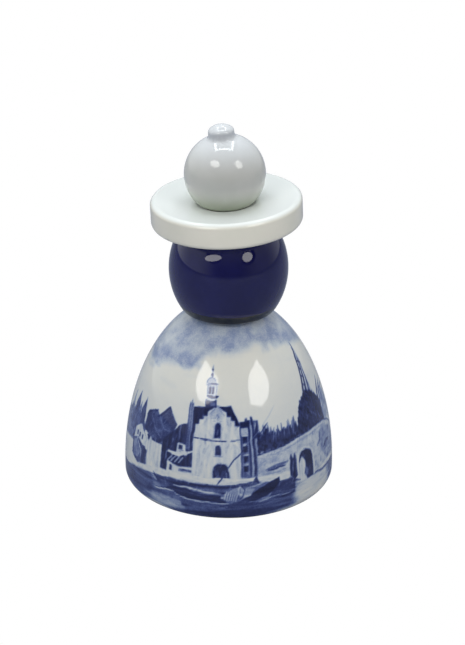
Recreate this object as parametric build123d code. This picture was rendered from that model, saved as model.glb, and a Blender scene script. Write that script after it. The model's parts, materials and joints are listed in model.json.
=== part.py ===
from build123d import *
from math import acos, asin, cos, degrees, radians, sin, sqrt
import os

# A porcelain table bell, in millimetres, +Z up, standing on the plane z = 0 with the
# dome's axis along Z.  A dome, a hollow round head, a thick disc and a hollow ball are
# stacked on one steel rod.  The head, the disc and the ball can be turned by hand on
# their soft pads.  A wooden clapper hangs inside the dome from a swivel on the rod's end.

# ---- driving dimensions -------------------------------------------------------------

# dome: an elliptical shell with a thick rounded lip and a flat seat on top
DOME_RADIUS = 45.0
DOME_RISE = 75.6            # vertical half-axis of the outer ellipse
WAIST_HEIGHT = 6.0          # height of the ellipse's centre, where the dome is widest
DOME_WALL = 3.4
SEAT_RADIUS = 15.2
CROWN_THICKNESS = 4.0
CROWN_BORE = 3.5
FOOT_OUTER = 41.0           # the ring that rests on the table
FOOT_INNER = 39.4
LIP_ROUND = 1.4             # inner rounding of the lip
BOW_HEIGHT = 15.0           # where the thick lip has thinned down to the wall

# head: a hollow barrel of elliptical outline, cut flat at both ends
HEAD_RADIUS = 25.1
HEAD_RISE = 28.6            # vertical half-axis of the outer ellipse
HEAD_WALL = 3.2
HEAD_HEIGHT = 37.6          # between the two flats
HEAD_WIDEST = 18.2          # from the lower flat up to the ellipse's centre
HEAD_EDGE = 2.6             # rounding of the lower edge
HEAD_TOP_EDGE = 0.8

# disc and ball lean together to one side
LEAN = 2.475                # degrees from the vertical, towards -X
DISC_OFFSET = -0.56         # where the leaning axis crosses the disc's lower face
DISC_RADIUS = 31.6
DISC_THICKNESS = 11.1
DISC_EDGE = 2.1
DISC_DISH = 2.2             # how far the top sinks from the rim to the middle
DISC_SEAT = 8.8             # the flat in the dish that carries the ball's pad
DISC_SEAT_RADIUS = 12.6
DISC_BORE = 3.5

BALL_RADIUS = 16.9
BALL_WALL = 3.0
BALL_FLOOR = 2.6            # thickness of its flat floor
BALL_CENTRE = 21.26         # above the disc's lower face, along the leaning axis
BALL_FLOOR_BORE = 3.1
BALL_EDGE = 0.5

# knob: plugs the ball's casting hole, and leans a little more than the ball
KNOB_LEAN = 2.3             # degrees more than the ball
KNOB_PROUD = 4.6            # how far it stands above the ball's pole
KNOB_DOME = 7.5             # radius of its domed top
KNOB_EDGE = 2.0             # rounding between the domed top and the side
KNOB_EDGE_START = 4.6       # how far from its axis the rounding begins
KNOB_SKIRT = 6.4            # the knob flares out to meet the ball
KNOB_LIP = 0.15             # thickness of the flare's edge
KNOB_GAP = 0.05             # between the knob's skirt and the ball
CASTING_HOLE = 5.15
SHANK_RADIUS = 4.2
SHANK_LENGTH = 3.6

# pads, all of soft rubber
NECK_PAD_THICKNESS = 1.5
DISC_PAD_THICKNESS = 1.2    # of the wedge, on the rod's axis
BALL_PAD_THICKNESS = 0.5
NECK_PAD_INNER = 8.0
NECK_PAD_OUTER = 14.9
BALL_PAD_OUTER = 11.2
BALL_PAD_INNER = 4.5
DISC_PAD_OUTER = 14.0
DISC_PAD_INNER = 7.0
BALL_WEDGE_RADIUS = 4.9
BALL_WEDGE_THICKNESS = 1.2  # at the rod

# tie rod with M3 nuts and washers
ROD_RADIUS = 1.5
ROD_CHAMFER = 0.3
NUT_FLATS = 5.5
NUT_HEIGHT = 2.4
NUT_CHAMFER = 0.35
TOP_WASHER_RADIUS = 4.5
TOP_WASHER_THICKNESS = 0.8
UNDER_WASHER_RADIUS = 7.0
UNDER_WASHER_THICKNESS = 1.0
ROD_TOP_STICKOUT = 1.2      # rod beyond the top nut
ROD_IN_COLLAR = 3.0

# nylon bushes
RUNNING_GAP = 0.05          # radial clearance wherever one piece turns in another
HEAD_BUSH_RADIUS = 4.0
HEAD_BUSH_FLANGE = 6.0
HEAD_BUSH_FLANGE_THICKNESS = 0.45
CROWN_BUSH_FLANGE = 6.0
CROWN_BUSH_FLANGE_THICKNESS = 1.0

# swivel and clapper
COLLAR_RADIUS = 4.0
COLLAR_LENGTH = 8.0
COLLAR_CAVITY = 2.9
COLLAR_RIM = 1.5            # thickness of the rolled rim under the pin's head
COLLAR_EDGE = 0.8
PIN_HEAD_RADIUS = 2.3
PIN_HEAD_THICKNESS = 1.2
PIN_RADIUS = 1.0
WIRE_RADIUS = 0.8
LOOP_RADIUS = 2.4           # of the wire's centre line, for the eye and for the loop
EYE_GAP = 0.3               # between the collar and the eye
CLAPPER_RADIUS = 10.0
CLAPPER_CENTRE = 15.0       # height of the wooden ball above the table
FERRULE_RADIUS = 2.2
FERRULE_SEAT = 5.5
FERRULE_LENGTH = 2.5
FERRULE_EDGE = 0.5
WIRE_END = 3.7

# ---- heights that follow from them ---------------------------------------------------

SEAT_HEIGHT = WAIST_HEIGHT + DOME_RISE * sqrt(1 - (SEAT_RADIUS / DOME_RADIUS) ** 2)
CROWN_UNDERSIDE = SEAT_HEIGHT - CROWN_THICKNESS
WASHER_TOP = CROWN_UNDERSIDE - CROWN_BUSH_FLANGE_THICKNESS
CLAMP_NUT_TOP = WASHER_TOP - UNDER_WASHER_THICKNESS
COLLAR_TOP = CLAMP_NUT_TOP - NUT_HEIGHT
COLLAR_BOTTOM = COLLAR_TOP - COLLAR_LENGTH
EYE_CENTRE = COLLAR_BOTTOM - EYE_GAP - LOOP_RADIUS - WIRE_RADIUS
PIVOT_HEIGHT = EYE_CENTRE - LOOP_RADIUS + 2 * WIRE_RADIUS + RUNNING_GAP
LOOP_CENTRE = PIVOT_HEIGHT - LOOP_RADIUS

HEAD_FLOOR = SEAT_HEIGHT + NECK_PAD_THICKNESS
HEAD_MIDDLE = HEAD_FLOOR + HEAD_WIDEST
HEAD_TOP = HEAD_FLOOR + HEAD_HEIGHT
DISC_BASE = HEAD_TOP + DISC_PAD_THICKNESS

DISC_TILT = Pos(DISC_OFFSET, 0, DISC_BASE) * Rot(0, -LEAN, 0)
KNOB_TILT = DISC_TILT * Pos(0, 0, BALL_CENTRE) * Rot(0, -KNOB_LEAN, 0)
BALL_PAD_TOP = DISC_SEAT + BALL_PAD_THICKNESS
BALL_INSIDE_FLOOR = BALL_PAD_TOP + BALL_FLOOR


def height_on_axis(local_height):
    """Height on the rod's axis of the leaning plane at a local height above the disc."""
    along = local_height + DISC_OFFSET * sin(radians(LEAN))
    return DISC_BASE + along / cos(radians(LEAN))


WEDGE_TOP = height_on_axis(BALL_INSIDE_FLOOR) + BALL_WEDGE_THICKNESS
TOP_NUT_BASE = WEDGE_TOP + TOP_WASHER_THICKNESS
ROD_TOP = TOP_NUT_BASE + NUT_HEIGHT + ROD_TOP_STICKOUT
ROD_BOTTOM = COLLAR_TOP - ROD_IN_COLLAR


# ---- helpers -------------------------------------------------------------------------


def turned(*outline):
    """Solid turned about Z from a closed outline of curves in (radius, height)."""
    return revolve(Plane.XZ * make_face(outline), Axis.Z)


def upright_ellipse(radius, rise, middle, start, end):
    """Arc of an ellipse, as a spline, between two angles; its centre is on the Z axis."""
    steps = 10
    angles = [start + (end - start) * step / steps for step in range(steps + 1)]
    points = [(radius * cos(angle), middle + rise * sin(angle)) for angle in angles]
    slopes = [(-radius * sin(angle), rise * cos(angle)) for angle in (start, end)]
    return Spline(points, tangents=slopes)


def rod(radius, low, high):
    """Upright cylinder on the Z axis between two heights."""
    return Pos(0, 0, low) * Cylinder(radius, high - low, align=(Align.CENTER, Align.CENTER, Align.MIN))


def ring(outer, inner, low, high):
    """Upright ring on the Z axis between two heights."""
    return rod(outer, low, high) - rod(inner, low - 1, high + 1)


def hex_nut(low):
    """Plain hexagon nut on the rod."""
    hexagon = RegularPolygon(NUT_FLATS / 2, 6, major_radius=False)
    blank = extrude(Pos(0, 0, low) * hexagon, NUT_HEIGHT)
    corners = NUT_FLATS / sqrt(3)
    chamfered = rod(corners, low, low + NUT_HEIGHT)
    chamfered = chamfer(chamfered.edges().filter_by(GeomType.CIRCLE), NUT_CHAMFER)
    return (blank & chamfered) - rod(ROD_RADIUS, low - 1, low + NUT_HEIGHT + 1)


def flanged_bush(outer, inner, flange, flange_low, flange_high, end):
    """Nylon bush: a flange, and a sleeve that runs from it to the height `end`."""
    low = min(flange_low, end)
    high = max(flange_high, end)
    return ring(flange, inner, flange_low, flange_high) + ring(outer, inner, low, high)


def wire_loop(centre_height, plane):
    """Closed wire loop with its centre on the Z axis."""
    return Pos(0, 0, centre_height) * (plane * Torus(LOOP_RADIUS, WIRE_RADIUS))


# ---- porcelain -----------------------------------------------------------------------


def make_bell_body():
    """The sounding dome: elliptical outside and inside, thick lip, flat seat on top."""
    lip_radius = DOME_RADIUS - FOOT_OUTER
    inner_radius = DOME_RADIUS - DOME_WALL
    inner_rise = DOME_RISE - CROWN_THICKNESS
    seat_angle = acos(SEAT_RADIUS / DOME_RADIUS)
    under_angle = asin((CROWN_UNDERSIDE - WAIST_HEIGHT) / inner_rise)
    bow_angle = asin((BOW_HEIGHT - WAIST_HEIGHT) / inner_rise)

    lip = CenterArc((FOOT_OUTER, lip_radius), lip_radius, 270, 90)
    side = Line(lip @ 1, (DOME_RADIUS, WAIST_HEIGHT))
    outside = upright_ellipse(DOME_RADIUS, DOME_RISE, WAIST_HEIGHT, 0, seat_angle)
    inside = upright_ellipse(inner_radius, inner_rise, WAIST_HEIGHT, bow_angle, under_angle)
    top = Polyline(outside @ 1, (CROWN_BORE, SEAT_HEIGHT), (CROWN_BORE, CROWN_UNDERSIDE), inside @ 1)
    inner_lip = CenterArc((FOOT_INNER, LIP_ROUND), LIP_ROUND, 180, 90)
    bow = Spline(inner_lip @ 0, inside @ 0, tangents=((0, 1), inside % 0))
    foot = Line(inner_lip @ 1, lip @ 0)
    return turned(lip, side, outside, top, inside, bow, inner_lip, foot)


def barrel(inset):
    """Solid barrel inside the head's outline, a given distance in from its outside."""
    low = HEAD_FLOOR + inset
    high = HEAD_TOP - inset
    radius = HEAD_RADIUS - inset
    rise = HEAD_RISE - inset
    low_angle = asin((low - HEAD_MIDDLE) / rise)
    high_angle = asin((high - HEAD_MIDDLE) / rise)
    side = upright_ellipse(radius, rise, HEAD_MIDDLE, low_angle, high_angle)
    ends = Polyline(side @ 1, (0, high), (0, low), side @ 0)
    return turned(side, ends)


def make_head_barrel():
    """Hollow dark head: a barrel cut flat at both ends, bored for its two bushes."""
    outside = barrel(0)
    rims = outside.edges().filter_by(GeomType.CIRCLE).sort_by(Axis.Z)
    outside = fillet(rims[0], HEAD_EDGE)
    rims = outside.edges().filter_by(GeomType.CIRCLE).sort_by(Axis.Z)
    outside = fillet(rims[-1], HEAD_TOP_EDGE)
    return outside - barrel(HEAD_WALL) - rod(HEAD_BUSH_RADIUS, HEAD_FLOOR - 1, HEAD_TOP + 1)


def make_hat_brim():
    """Thick leaning disc with rounded edges and a shallow dish on top."""
    flat = DISC_RADIUS - DISC_EDGE
    dish_floor = DISC_THICKNESS - DISC_DISH
    dish_radius = (flat**2 + DISC_DISH**2) / (2 * DISC_DISH)
    seat_edge = dish_floor + dish_radius - sqrt(dish_radius**2 - DISC_SEAT_RADIUS**2)

    lower_edge = CenterArc((flat, DISC_EDGE), DISC_EDGE, 270, 90)
    side = Line((DISC_RADIUS, DISC_EDGE), (DISC_RADIUS, DISC_THICKNESS - DISC_EDGE))
    upper_edge = CenterArc((flat, DISC_THICKNESS - DISC_EDGE), DISC_EDGE, 0, 90)
    dish = RadiusArc(upper_edge @ 1, (DISC_SEAT_RADIUS, seat_edge), dish_radius)
    middle = Polyline(
        (DISC_SEAT_RADIUS, seat_edge),
        (DISC_SEAT_RADIUS, DISC_SEAT),
        (DISC_BORE, DISC_SEAT),
        (DISC_BORE, 0),
        (flat, 0),
    )
    return DISC_TILT * turned(lower_edge, side, upper_edge, dish, middle)


def make_hat_crown():
    """Hollow ball on the disc, with a floor bore for the rod and a casting hole on top."""
    centre = Pos(0, 0, BALL_CENTRE)
    top = BALL_CENTRE + BALL_RADIUS
    outside = rod(BALL_RADIUS, BALL_PAD_TOP, top) & (centre * Sphere(BALL_RADIUS))
    rim = outside.edges().filter_by(GeomType.CIRCLE).sort_by(Axis.Z)[0]
    outside = fillet(rim, BALL_EDGE)
    hollow = rod(BALL_RADIUS, BALL_INSIDE_FLOOR, top) & (centre * Sphere(BALL_RADIUS - BALL_WALL))
    ball = outside - hollow - rod(BALL_FLOOR_BORE, 0, BALL_CENTRE)
    return DISC_TILT * ball - KNOB_TILT * rod(CASTING_HOLE, 0, BALL_RADIUS + 1)


def make_top_knob():
    """Small domed knob that flares out to the ball, with a shank in the casting hole."""
    top = BALL_RADIUS + KNOB_PROUD
    dome_centre = top - KNOB_DOME
    outward = KNOB_EDGE_START / KNOB_DOME
    upward = sqrt(1 - outward**2)
    edge_radius = (KNOB_DOME - KNOB_EDGE) * outward
    edge_height = dome_centre + (KNOB_DOME - KNOB_EDGE) * upward
    edge_angle = degrees(asin(upward))
    skirt_height = sqrt(BALL_RADIUS**2 - KNOB_SKIRT**2)

    dome = CenterArc((0, dome_centre), KNOB_DOME, 90, edge_angle - 90)
    edge = CenterArc((edge_radius, edge_height), KNOB_EDGE, edge_angle, -edge_angle)
    lip = (KNOB_SKIRT, skirt_height + KNOB_LIP)
    flare = Spline(edge @ 1, lip, tangents=((0, -1), (skirt_height, -KNOB_SKIRT)))
    under = Polyline(lip, (KNOB_SKIRT, skirt_height), (0, skirt_height), (0, top))
    cap = turned(dome, edge, flare, under) - Sphere(BALL_RADIUS + KNOB_GAP)
    shank = rod(SHANK_RADIUS, BALL_RADIUS - SHANK_LENGTH, BALL_RADIUS + KNOB_GAP)
    return KNOB_TILT * (cap + shank)


# ---- rubber and nylon ----------------------------------------------------------------


def make_knob_sleeve():
    """Silicone sleeve squeezed between the knob's shank and the casting hole."""
    length = ring(CASTING_HOLE, SHANK_RADIUS, BALL_RADIUS - SHANK_LENGTH, BALL_RADIUS)
    return KNOB_TILT * (length & Sphere(BALL_RADIUS))


def make_neck_pad():
    """Flat rubber ring between the dome's seat and the head."""
    return ring(NECK_PAD_OUTER, NECK_PAD_INNER, SEAT_HEIGHT, HEAD_FLOOR)


def make_brim_pad():
    """Rubber wedge between the level head and the leaning disc."""
    blank = ring(DISC_PAD_OUTER, DISC_PAD_INNER, HEAD_TOP, DISC_BASE + DISC_PAD_THICKNESS)
    return blank - DISC_TILT * rod(2 * DISC_RADIUS, 0, DISC_THICKNESS)


def make_crown_pad():
    """Flat rubber ring between the disc and the ball, in the disc's dish."""
    return DISC_TILT * ring(BALL_PAD_OUTER, BALL_PAD_INNER, DISC_SEAT, BALL_PAD_TOP)


def make_top_wedge_washer():
    """Rubber washer inside the ball: leaning below, level on top."""
    floor = height_on_axis(BALL_INSIDE_FLOOR)
    blank = ring(BALL_WEDGE_RADIUS, ROD_RADIUS, floor - 1, WEDGE_TOP)
    return blank - DISC_TILT * rod(BALL_RADIUS, 0, BALL_INSIDE_FLOOR)


def make_head_floor_bush():
    """Nylon bush in the head's floor, running on the rod."""
    inner = ROD_RADIUS + RUNNING_GAP
    low = HEAD_FLOOR - HEAD_BUSH_FLANGE_THICKNESS
    return flanged_bush(HEAD_BUSH_RADIUS, inner, HEAD_BUSH_FLANGE, low, HEAD_FLOOR, HEAD_FLOOR + HEAD_WALL)


def make_head_roof_bush():
    """Nylon bush in the head's roof, running on the rod."""
    inner = ROD_RADIUS + RUNNING_GAP
    high = HEAD_TOP + HEAD_BUSH_FLANGE_THICKNESS
    return flanged_bush(HEAD_BUSH_RADIUS, inner, HEAD_BUSH_FLANGE, HEAD_TOP, high, HEAD_TOP - HEAD_WALL)


def make_crown_bush():
    """Nylon bush that centres the rod in the dome's crown."""
    return flanged_bush(
        CROWN_BORE, ROD_RADIUS, CROWN_BUSH_FLANGE, WASHER_TOP, CROWN_UNDERSIDE, SEAT_HEIGHT
    )


# ---- rod, nuts and washers -----------------------------------------------------------


def make_tie_rod():
    """M3 rod through the whole stack, drawn with its thread as a plain cylinder."""
    blank = rod(ROD_RADIUS, ROD_BOTTOM, ROD_TOP)
    return chamfer(blank.edges().filter_by(GeomType.CIRCLE), ROD_CHAMFER)


def make_top_washer():
    """Steel washer inside the ball."""
    return ring(TOP_WASHER_RADIUS, ROD_RADIUS, WEDGE_TOP, TOP_NUT_BASE)


def make_under_washer():
    """Steel washer below the dome's crown."""
    return ring(UNDER_WASHER_RADIUS, ROD_RADIUS, CLAMP_NUT_TOP, WASHER_TOP)


# ---- swivel and clapper --------------------------------------------------------------


def make_swivel_collar():
    """Brass collar screwed on the rod's end, its lower rim rolled in under the pin."""
    blank = rod(COLLAR_RADIUS, COLLAR_BOTTOM, COLLAR_TOP)
    blank = fillet(blank.edges().filter_by(GeomType.CIRCLE), COLLAR_EDGE)
    bore = rod(ROD_RADIUS, ROD_BOTTOM, COLLAR_TOP + 1)
    cavity = rod(COLLAR_CAVITY, COLLAR_BOTTOM + COLLAR_RIM, ROD_BOTTOM)
    pin_hole = rod(PIN_RADIUS + RUNNING_GAP, COLLAR_BOTTOM - 1, COLLAR_BOTTOM + COLLAR_RIM)
    return blank - bore - cavity - pin_hole


def make_swivel_eye():
    """Headed pin that turns in the collar, ending in an eye."""
    head_low = COLLAR_BOTTOM + COLLAR_RIM + RUNNING_GAP
    head = rod(PIN_HEAD_RADIUS, head_low, head_low + PIN_HEAD_THICKNESS)
    pin = rod(PIN_RADIUS, EYE_CENTRE + LOOP_RADIUS, head_low)
    return wire_loop(EYE_CENTRE, Plane.XZ) + head + pin


def make_clapper_wire():
    """Bent wire: a closed loop that hangs in the eye, and a straight leg."""
    leg = rod(WIRE_RADIUS, WIRE_END, LOOP_CENTRE - LOOP_RADIUS)
    return wire_loop(LOOP_CENTRE, Plane.YZ) + leg


def make_clapper_ball():
    """Turned wooden ball with a flat below for the ferrule."""
    top = CLAPPER_CENTRE + CLAPPER_RADIUS
    ball = Pos(0, 0, CLAPPER_CENTRE) * Sphere(CLAPPER_RADIUS)
    ball &= rod(CLAPPER_RADIUS, FERRULE_SEAT, top)
    return ball - rod(WIRE_RADIUS, 0, top + 1)


def make_clapper_ferrule():
    """Brass ferrule crimped on the wire's end, under the wooden ball."""
    low = FERRULE_SEAT - FERRULE_LENGTH
    ferrule = rod(FERRULE_RADIUS, low, FERRULE_SEAT)
    lower_edge = ferrule.edges().filter_by(GeomType.CIRCLE).sort_by(Axis.Z)[0]
    return fillet(lower_edge, FERRULE_EDGE) - rod(WIRE_RADIUS, WIRE_END, FERRULE_SEAT + 1)


# ---- write one file per piece --------------------------------------------------------

pieces = {
    "bell_body": make_bell_body(),
    "head_barrel": make_head_barrel(),
    "hat_brim": make_hat_brim(),
    "hat_crown": make_hat_crown(),
    "top_knob": make_top_knob(),
    "knob_sleeve": make_knob_sleeve(),
    "neck_pad": make_neck_pad(),
    "brim_pad": make_brim_pad(),
    "crown_pad": make_crown_pad(),
    "top_wedge_washer": make_top_wedge_washer(),
    "head_floor_bush": make_head_floor_bush(),
    "head_roof_bush": make_head_roof_bush(),
    "crown_bush": make_crown_bush(),
    "tie_rod": make_tie_rod(),
    "top_nut": hex_nut(TOP_NUT_BASE),
    "top_washer": make_top_washer(),
    "under_washer": make_under_washer(),
    "clamp_nut": hex_nut(COLLAR_TOP),
    "swivel_collar": make_swivel_collar(),
    "swivel_eye": make_swivel_eye(),
    "clapper_wire": make_clapper_wire(),
    "clapper_ball": make_clapper_ball(),
    "clapper_ferrule": make_clapper_ferrule(),
}

os.makedirs("parts", exist_ok=True)
for name, piece in pieces.items():
    export_step(piece, f"parts/{name}.step")
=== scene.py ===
import json
import math

import bpy
import numpy as np
from mathutils import Matrix, Vector


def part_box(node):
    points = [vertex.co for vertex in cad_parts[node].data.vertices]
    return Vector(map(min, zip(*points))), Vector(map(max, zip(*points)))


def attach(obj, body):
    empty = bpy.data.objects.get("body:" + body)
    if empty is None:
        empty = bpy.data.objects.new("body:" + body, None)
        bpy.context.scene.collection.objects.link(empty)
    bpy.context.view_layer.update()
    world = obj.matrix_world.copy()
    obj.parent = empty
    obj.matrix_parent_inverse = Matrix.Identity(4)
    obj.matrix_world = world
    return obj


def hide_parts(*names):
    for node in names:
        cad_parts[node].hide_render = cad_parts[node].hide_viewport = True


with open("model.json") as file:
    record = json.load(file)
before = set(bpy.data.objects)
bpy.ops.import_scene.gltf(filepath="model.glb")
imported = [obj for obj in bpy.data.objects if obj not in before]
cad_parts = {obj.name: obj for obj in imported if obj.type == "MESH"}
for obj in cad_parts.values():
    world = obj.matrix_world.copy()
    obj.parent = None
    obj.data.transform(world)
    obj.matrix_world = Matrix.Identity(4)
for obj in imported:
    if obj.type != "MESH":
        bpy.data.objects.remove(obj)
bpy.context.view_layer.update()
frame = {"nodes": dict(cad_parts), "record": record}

# A porcelain table bell: a dome painted in cobalt under the glaze, a dark head, a white disc and
# a pale knobbed ball.  The glazed pieces and the wooden clapper are turned here as dense meshes,
# the small hardware keeps its CAD meshes.  Outlines are in millimetres.

MM = 0.001


def span(node):
    """Lowest and highest corner of a CAD node, in millimetres."""
    low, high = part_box(node)
    return low / MM, high / MM


# ---- sizes ---------------------------------------------------------------------------

_, body_high = span("bell_body")
head_low, head_high = span("head_barrel")
wood_low, wood_high = span("clapper_ball")
ball_low, _ = span("hat_crown")

DOME_RADIUS = body_high.x
SEAT_HEIGHT = body_high.z
WAIST_HEIGHT = 6.0
SEAT_RADIUS = 15.2
DOME_RISE = (SEAT_HEIGHT - WAIST_HEIGHT) / math.sqrt(1 - (SEAT_RADIUS / DOME_RADIUS) ** 2)
DOME_WALL = 3.4
CROWN_THICKNESS = 4.0
CROWN_BORE = 3.5
FOOT_OUTER = 41.0
FOOT_INNER = 39.4
LIP_ROUND = 1.4
BOW_HEIGHT = 15.0
BOW_PULL = 13.0

HEAD_RADIUS = head_high.x
HEAD_FLOOR = head_low.z
HEAD_TOP = head_high.z
HEAD_RISE = 28.6
HEAD_WIDEST = 18.2
HEAD_WALL = 3.2
HEAD_EDGE = 2.6
HEAD_TOP_EDGE = 0.8
HEAD_BORE = 4.0

DISC_RADIUS = 31.6
DISC_THICKNESS = 11.1
DISC_EDGE = 2.1
DISC_DISH = 2.2
DISC_SEAT = 8.8
DISC_SEAT_RADIUS = 12.6
DISC_BORE = 3.5

BALL_RADIUS = 16.9
BALL_WALL = 3.0
BALL_FLOOR = 9.3
BALL_INSIDE_FLOOR = 11.9
BALL_CENTRE = 21.26
BALL_BORE = 3.1
BALL_EDGE = 0.5
CASTING_HOLE = 5.15

KNOB_LEAN = math.radians(2.3)
KNOB_PROUD = 4.6
KNOB_DOME = 7.5
KNOB_EDGE = 2.0
KNOB_EDGE_START = 4.6
KNOB_SKIRT = 6.4
KNOB_SHOWN_LIP = 0.03
KNOB_FLARE_PULL = 3.4
KNOB_SIDE_PULL = 1.6
SHANK_RADIUS = 4.2
SHANK_LENGTH = 3.6

WOOD_RADIUS = (wood_high.x - wood_low.x) / 2
WOOD_CENTRE = wood_high.z - WOOD_RADIUS
WOOD_BORE = 0.8
GROOVE_DEPTH = 0.16
GROOVE_ANGLES = (-9, 9)
GROOVE_REACH = 1.5

joints = {joint["name"]: joint for joint in frame["record"]["behaviour"]["joints"]}
disc_joint = joints["brim_turn"]
disc_axis = Vector(disc_joint["axis"])
DISC_FRAME = Matrix.Translation(Vector(disc_joint["pos_m"]) / MM) @ (
    Vector((0, 0, 1)).rotation_difference(disc_axis).to_matrix().to_4x4()
)
KNOB_FRAME = (
    DISC_FRAME
    @ Matrix.Translation((0, 0, BALL_CENTRE))
    @ Matrix.Rotation(-KNOB_LEAN, 4, "Y")
)

# ---- outlines ------------------------------------------------------------------------


def arc(centre, radius, start, end, count):
    """Points on a circular arc, angles in degrees from the outward direction."""
    angles = np.radians(np.linspace(start, end, count))
    return [(centre[0] + radius * math.cos(a), centre[1] + radius * math.sin(a)) for a in angles]


def line(start, end, count):
    """Evenly spaced points from one place to another."""
    return list(zip(np.linspace(start[0], end[0], count), np.linspace(start[1], end[1], count)))


def hermite(start, end, leaving, arriving, count):
    """Smooth curve between two points with given end tangents."""
    points = []
    for t in np.linspace(0, 1, count):
        weights = (2 * t**3 - 3 * t**2 + 1, t**3 - 2 * t**2 + t, 3 * t**2 - 2 * t**3, t**3 - t**2)
        parts = (start, leaving, end, arriving)
        points.append(tuple(sum(w * part[k] for w, part in zip(weights, parts)) for k in (0, 1)))
    return points


def dome_radius(height):
    """Outer radius of the dome at a height above its waist."""
    rise = np.clip((np.asarray(height, float) - WAIST_HEIGHT) / DOME_RISE, 0, 0.98)
    return DOME_RADIUS * np.sqrt(1 - rise**2)


def degree_width(height):
    """Millimetres across one degree of azimuth, on the dome at a height."""
    return math.radians(1) * float(dome_radius(height))


def drop_repeats(points):
    """The same outline without points that repeat the one before."""
    kept = [points[0]]
    for point in points[1:]:
        if math.dist(point, kept[-1]) > 1e-4:
            kept.append(point)
    return kept


# ---- turned meshes -------------------------------------------------------------------

SHARP_ANGLE = math.radians(38)


def ring_faces(below, below_count, above, above_count):
    """Faces between two rings of vertices, whose counts are equal or whole multiples."""
    if below_count == 1 or above_count == 1:
        many, count = (above, above_count) if below_count == 1 else (below, below_count)
        tip = below if below_count == 1 else above
        turn = -1 if below_count == 1 else 1
        return [(many + k, many + (k + 1) % count, tip)[::turn] for k in range(count)]
    share = max(below_count, above_count) // min(below_count, above_count)
    faces = []
    for k in range(min(below_count, above_count)):
        if below_count >= above_count:
            wide = [below + (k * share + step) % below_count for step in range(share + 1)]
            faces.append((*wide, above + (k + 1) % above_count, above + k))
        else:
            wide = [above + (k * share + step) % above_count for step in range(share, -1, -1)]
            faces.append((below + k, below + (k + 1) % below_count, *wide))
    return faces


def turned(name, sections, place=None, shape=None):
    """Closed mesh turned about Z.

    Each section is (outline, columns, material index).  The outline runs up the outside, in over
    the top and down the inside, so that the faces look outwards.
    """
    vertices = []
    faces = []
    materials = []
    rings = []
    for outline, columns, material in sections:
        angles = np.arange(columns) * math.tau / columns - math.pi
        for radius, height in outline:
            start = len(vertices)
            if radius < 1e-6:
                vertices.append((0.0, 0.0, height))
                rings.append((start, 1, material))
                continue
            circle = zip(radius * np.sin(angles), -radius * np.cos(angles))
            vertices.extend((x, y, height) for x, y in circle)
            rings.append((start, columns, material))
    following = rings[1:] + rings[:1]
    for (low, low_count, _), (high, high_count, material) in zip(rings, following):
        if low_count == 1 and high_count == 1:
            continue
        fresh = ring_faces(low, low_count, high, high_count)
        faces.extend(fresh)
        materials.extend([material] * len(fresh))
    points = np.array(vertices)
    if shape is not None:
        points = shape(points)
    mesh = bpy.data.meshes.new(name)
    mesh.from_pydata((points * MM).tolist(), [], faces)
    if place is not None:
        shift = place.copy()
        shift.translation *= MM
        mesh.transform(shift)
    mesh.polygons.foreach_set("use_smooth", [True] * len(faces))
    mesh.polygons.foreach_set("material_index", materials)
    mesh.set_sharp_from_angle(angle=SHARP_ANGLE)
    mesh.update()
    piece = bpy.data.objects.new(name, mesh)
    bpy.context.scene.collection.objects.link(piece)
    return piece


def smoothstep(low, high, value):
    """Rises softly from 0 to 1 between two values, or falls where `low` is the greater."""
    t = np.clip((value - low) / (high - low), 0, 1)
    return t * t * (3 - 2 * t)


# ---- the painting --------------------------------------------------------------------
# The dome's outside is painted on a canvas of cells in azimuth (degrees, 0 at the front and
# positive to the right) and height (millimetres).  Tone 0 is bare glaze, 1 the darkest cobalt.

COLUMNS = 640
CELLS = 2 * COLUMNS
CELL_HEIGHT = 0.225
CANVAS_ROWS = 352
DEGREES = 360 / CELLS
AZIMUTHS = np.arange(CELLS) * DEGREES - 180
HEIGHTS = np.arange(CANVAS_ROWS) * CELL_HEIGHT

SEED = 11
OCTAVE_SHARE = 0.55
NOISE_GAIN = 1.3
WOBBLE = 0.28

rng = np.random.default_rng(SEED)


def noise(width, height, octaves=1):
    """Smooth noise from -1 to 1 on the canvas, with features of a given size in millimetres."""
    total = np.zeros((CANVAS_ROWS, CELLS))
    reach = 0
    for octave in range(octaves):
        share = OCTAVE_SHARE**octave
        across = max(4, round(math.tau * DOME_RADIUS / width * 2**octave))
        up = max(2, round(CANVAS_ROWS * CELL_HEIGHT / height * 2**octave))
        grid = rng.uniform(-1, 1, (up + 2, across))
        u = np.arange(CELLS) * across / CELLS
        v = np.arange(CANVAS_ROWS) * up / CANVAS_ROWS
        column, row = u.astype(int), v.astype(int)
        right = (column + 1) % across
        s = smoothstep(0, 1, u - column)[None, :]
        t = smoothstep(0, 1, v - row)[:, None]
        low = grid[row][:, column] * (1 - s) + grid[row][:, right] * s
        high = grid[row + 1][:, column] * (1 - s) + grid[row + 1][:, right] * s
        total += share * (low * (1 - t) + high * t)
        reach += share
    return total / reach * NOISE_GAIN


# an unsteady hand, in millimetres
WOBBLE_ACROSS = WOBBLE * noise(4.0, 4.0, 2)
WOBBLE_UP = WOBBLE * noise(4.0, 4.0, 2)
# unevenness of the washes
MOTTLE = noise(9.0, 7.0, 4)
DRIFT = noise(26.0, 8.0, 4)
BLOTS = noise(2.6, 2.2, 3)
UPRIGHT = noise(1.1, 9.0, 2)
LEVEL = noise(11.0, 1.0, 2)
TEXTURES = {"upright": UPRIGHT, "level": LEVEL, "mottle": MOTTLE, "blots": BLOTS}

tone = np.zeros((CANVAS_ROWS, CELLS))


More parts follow.
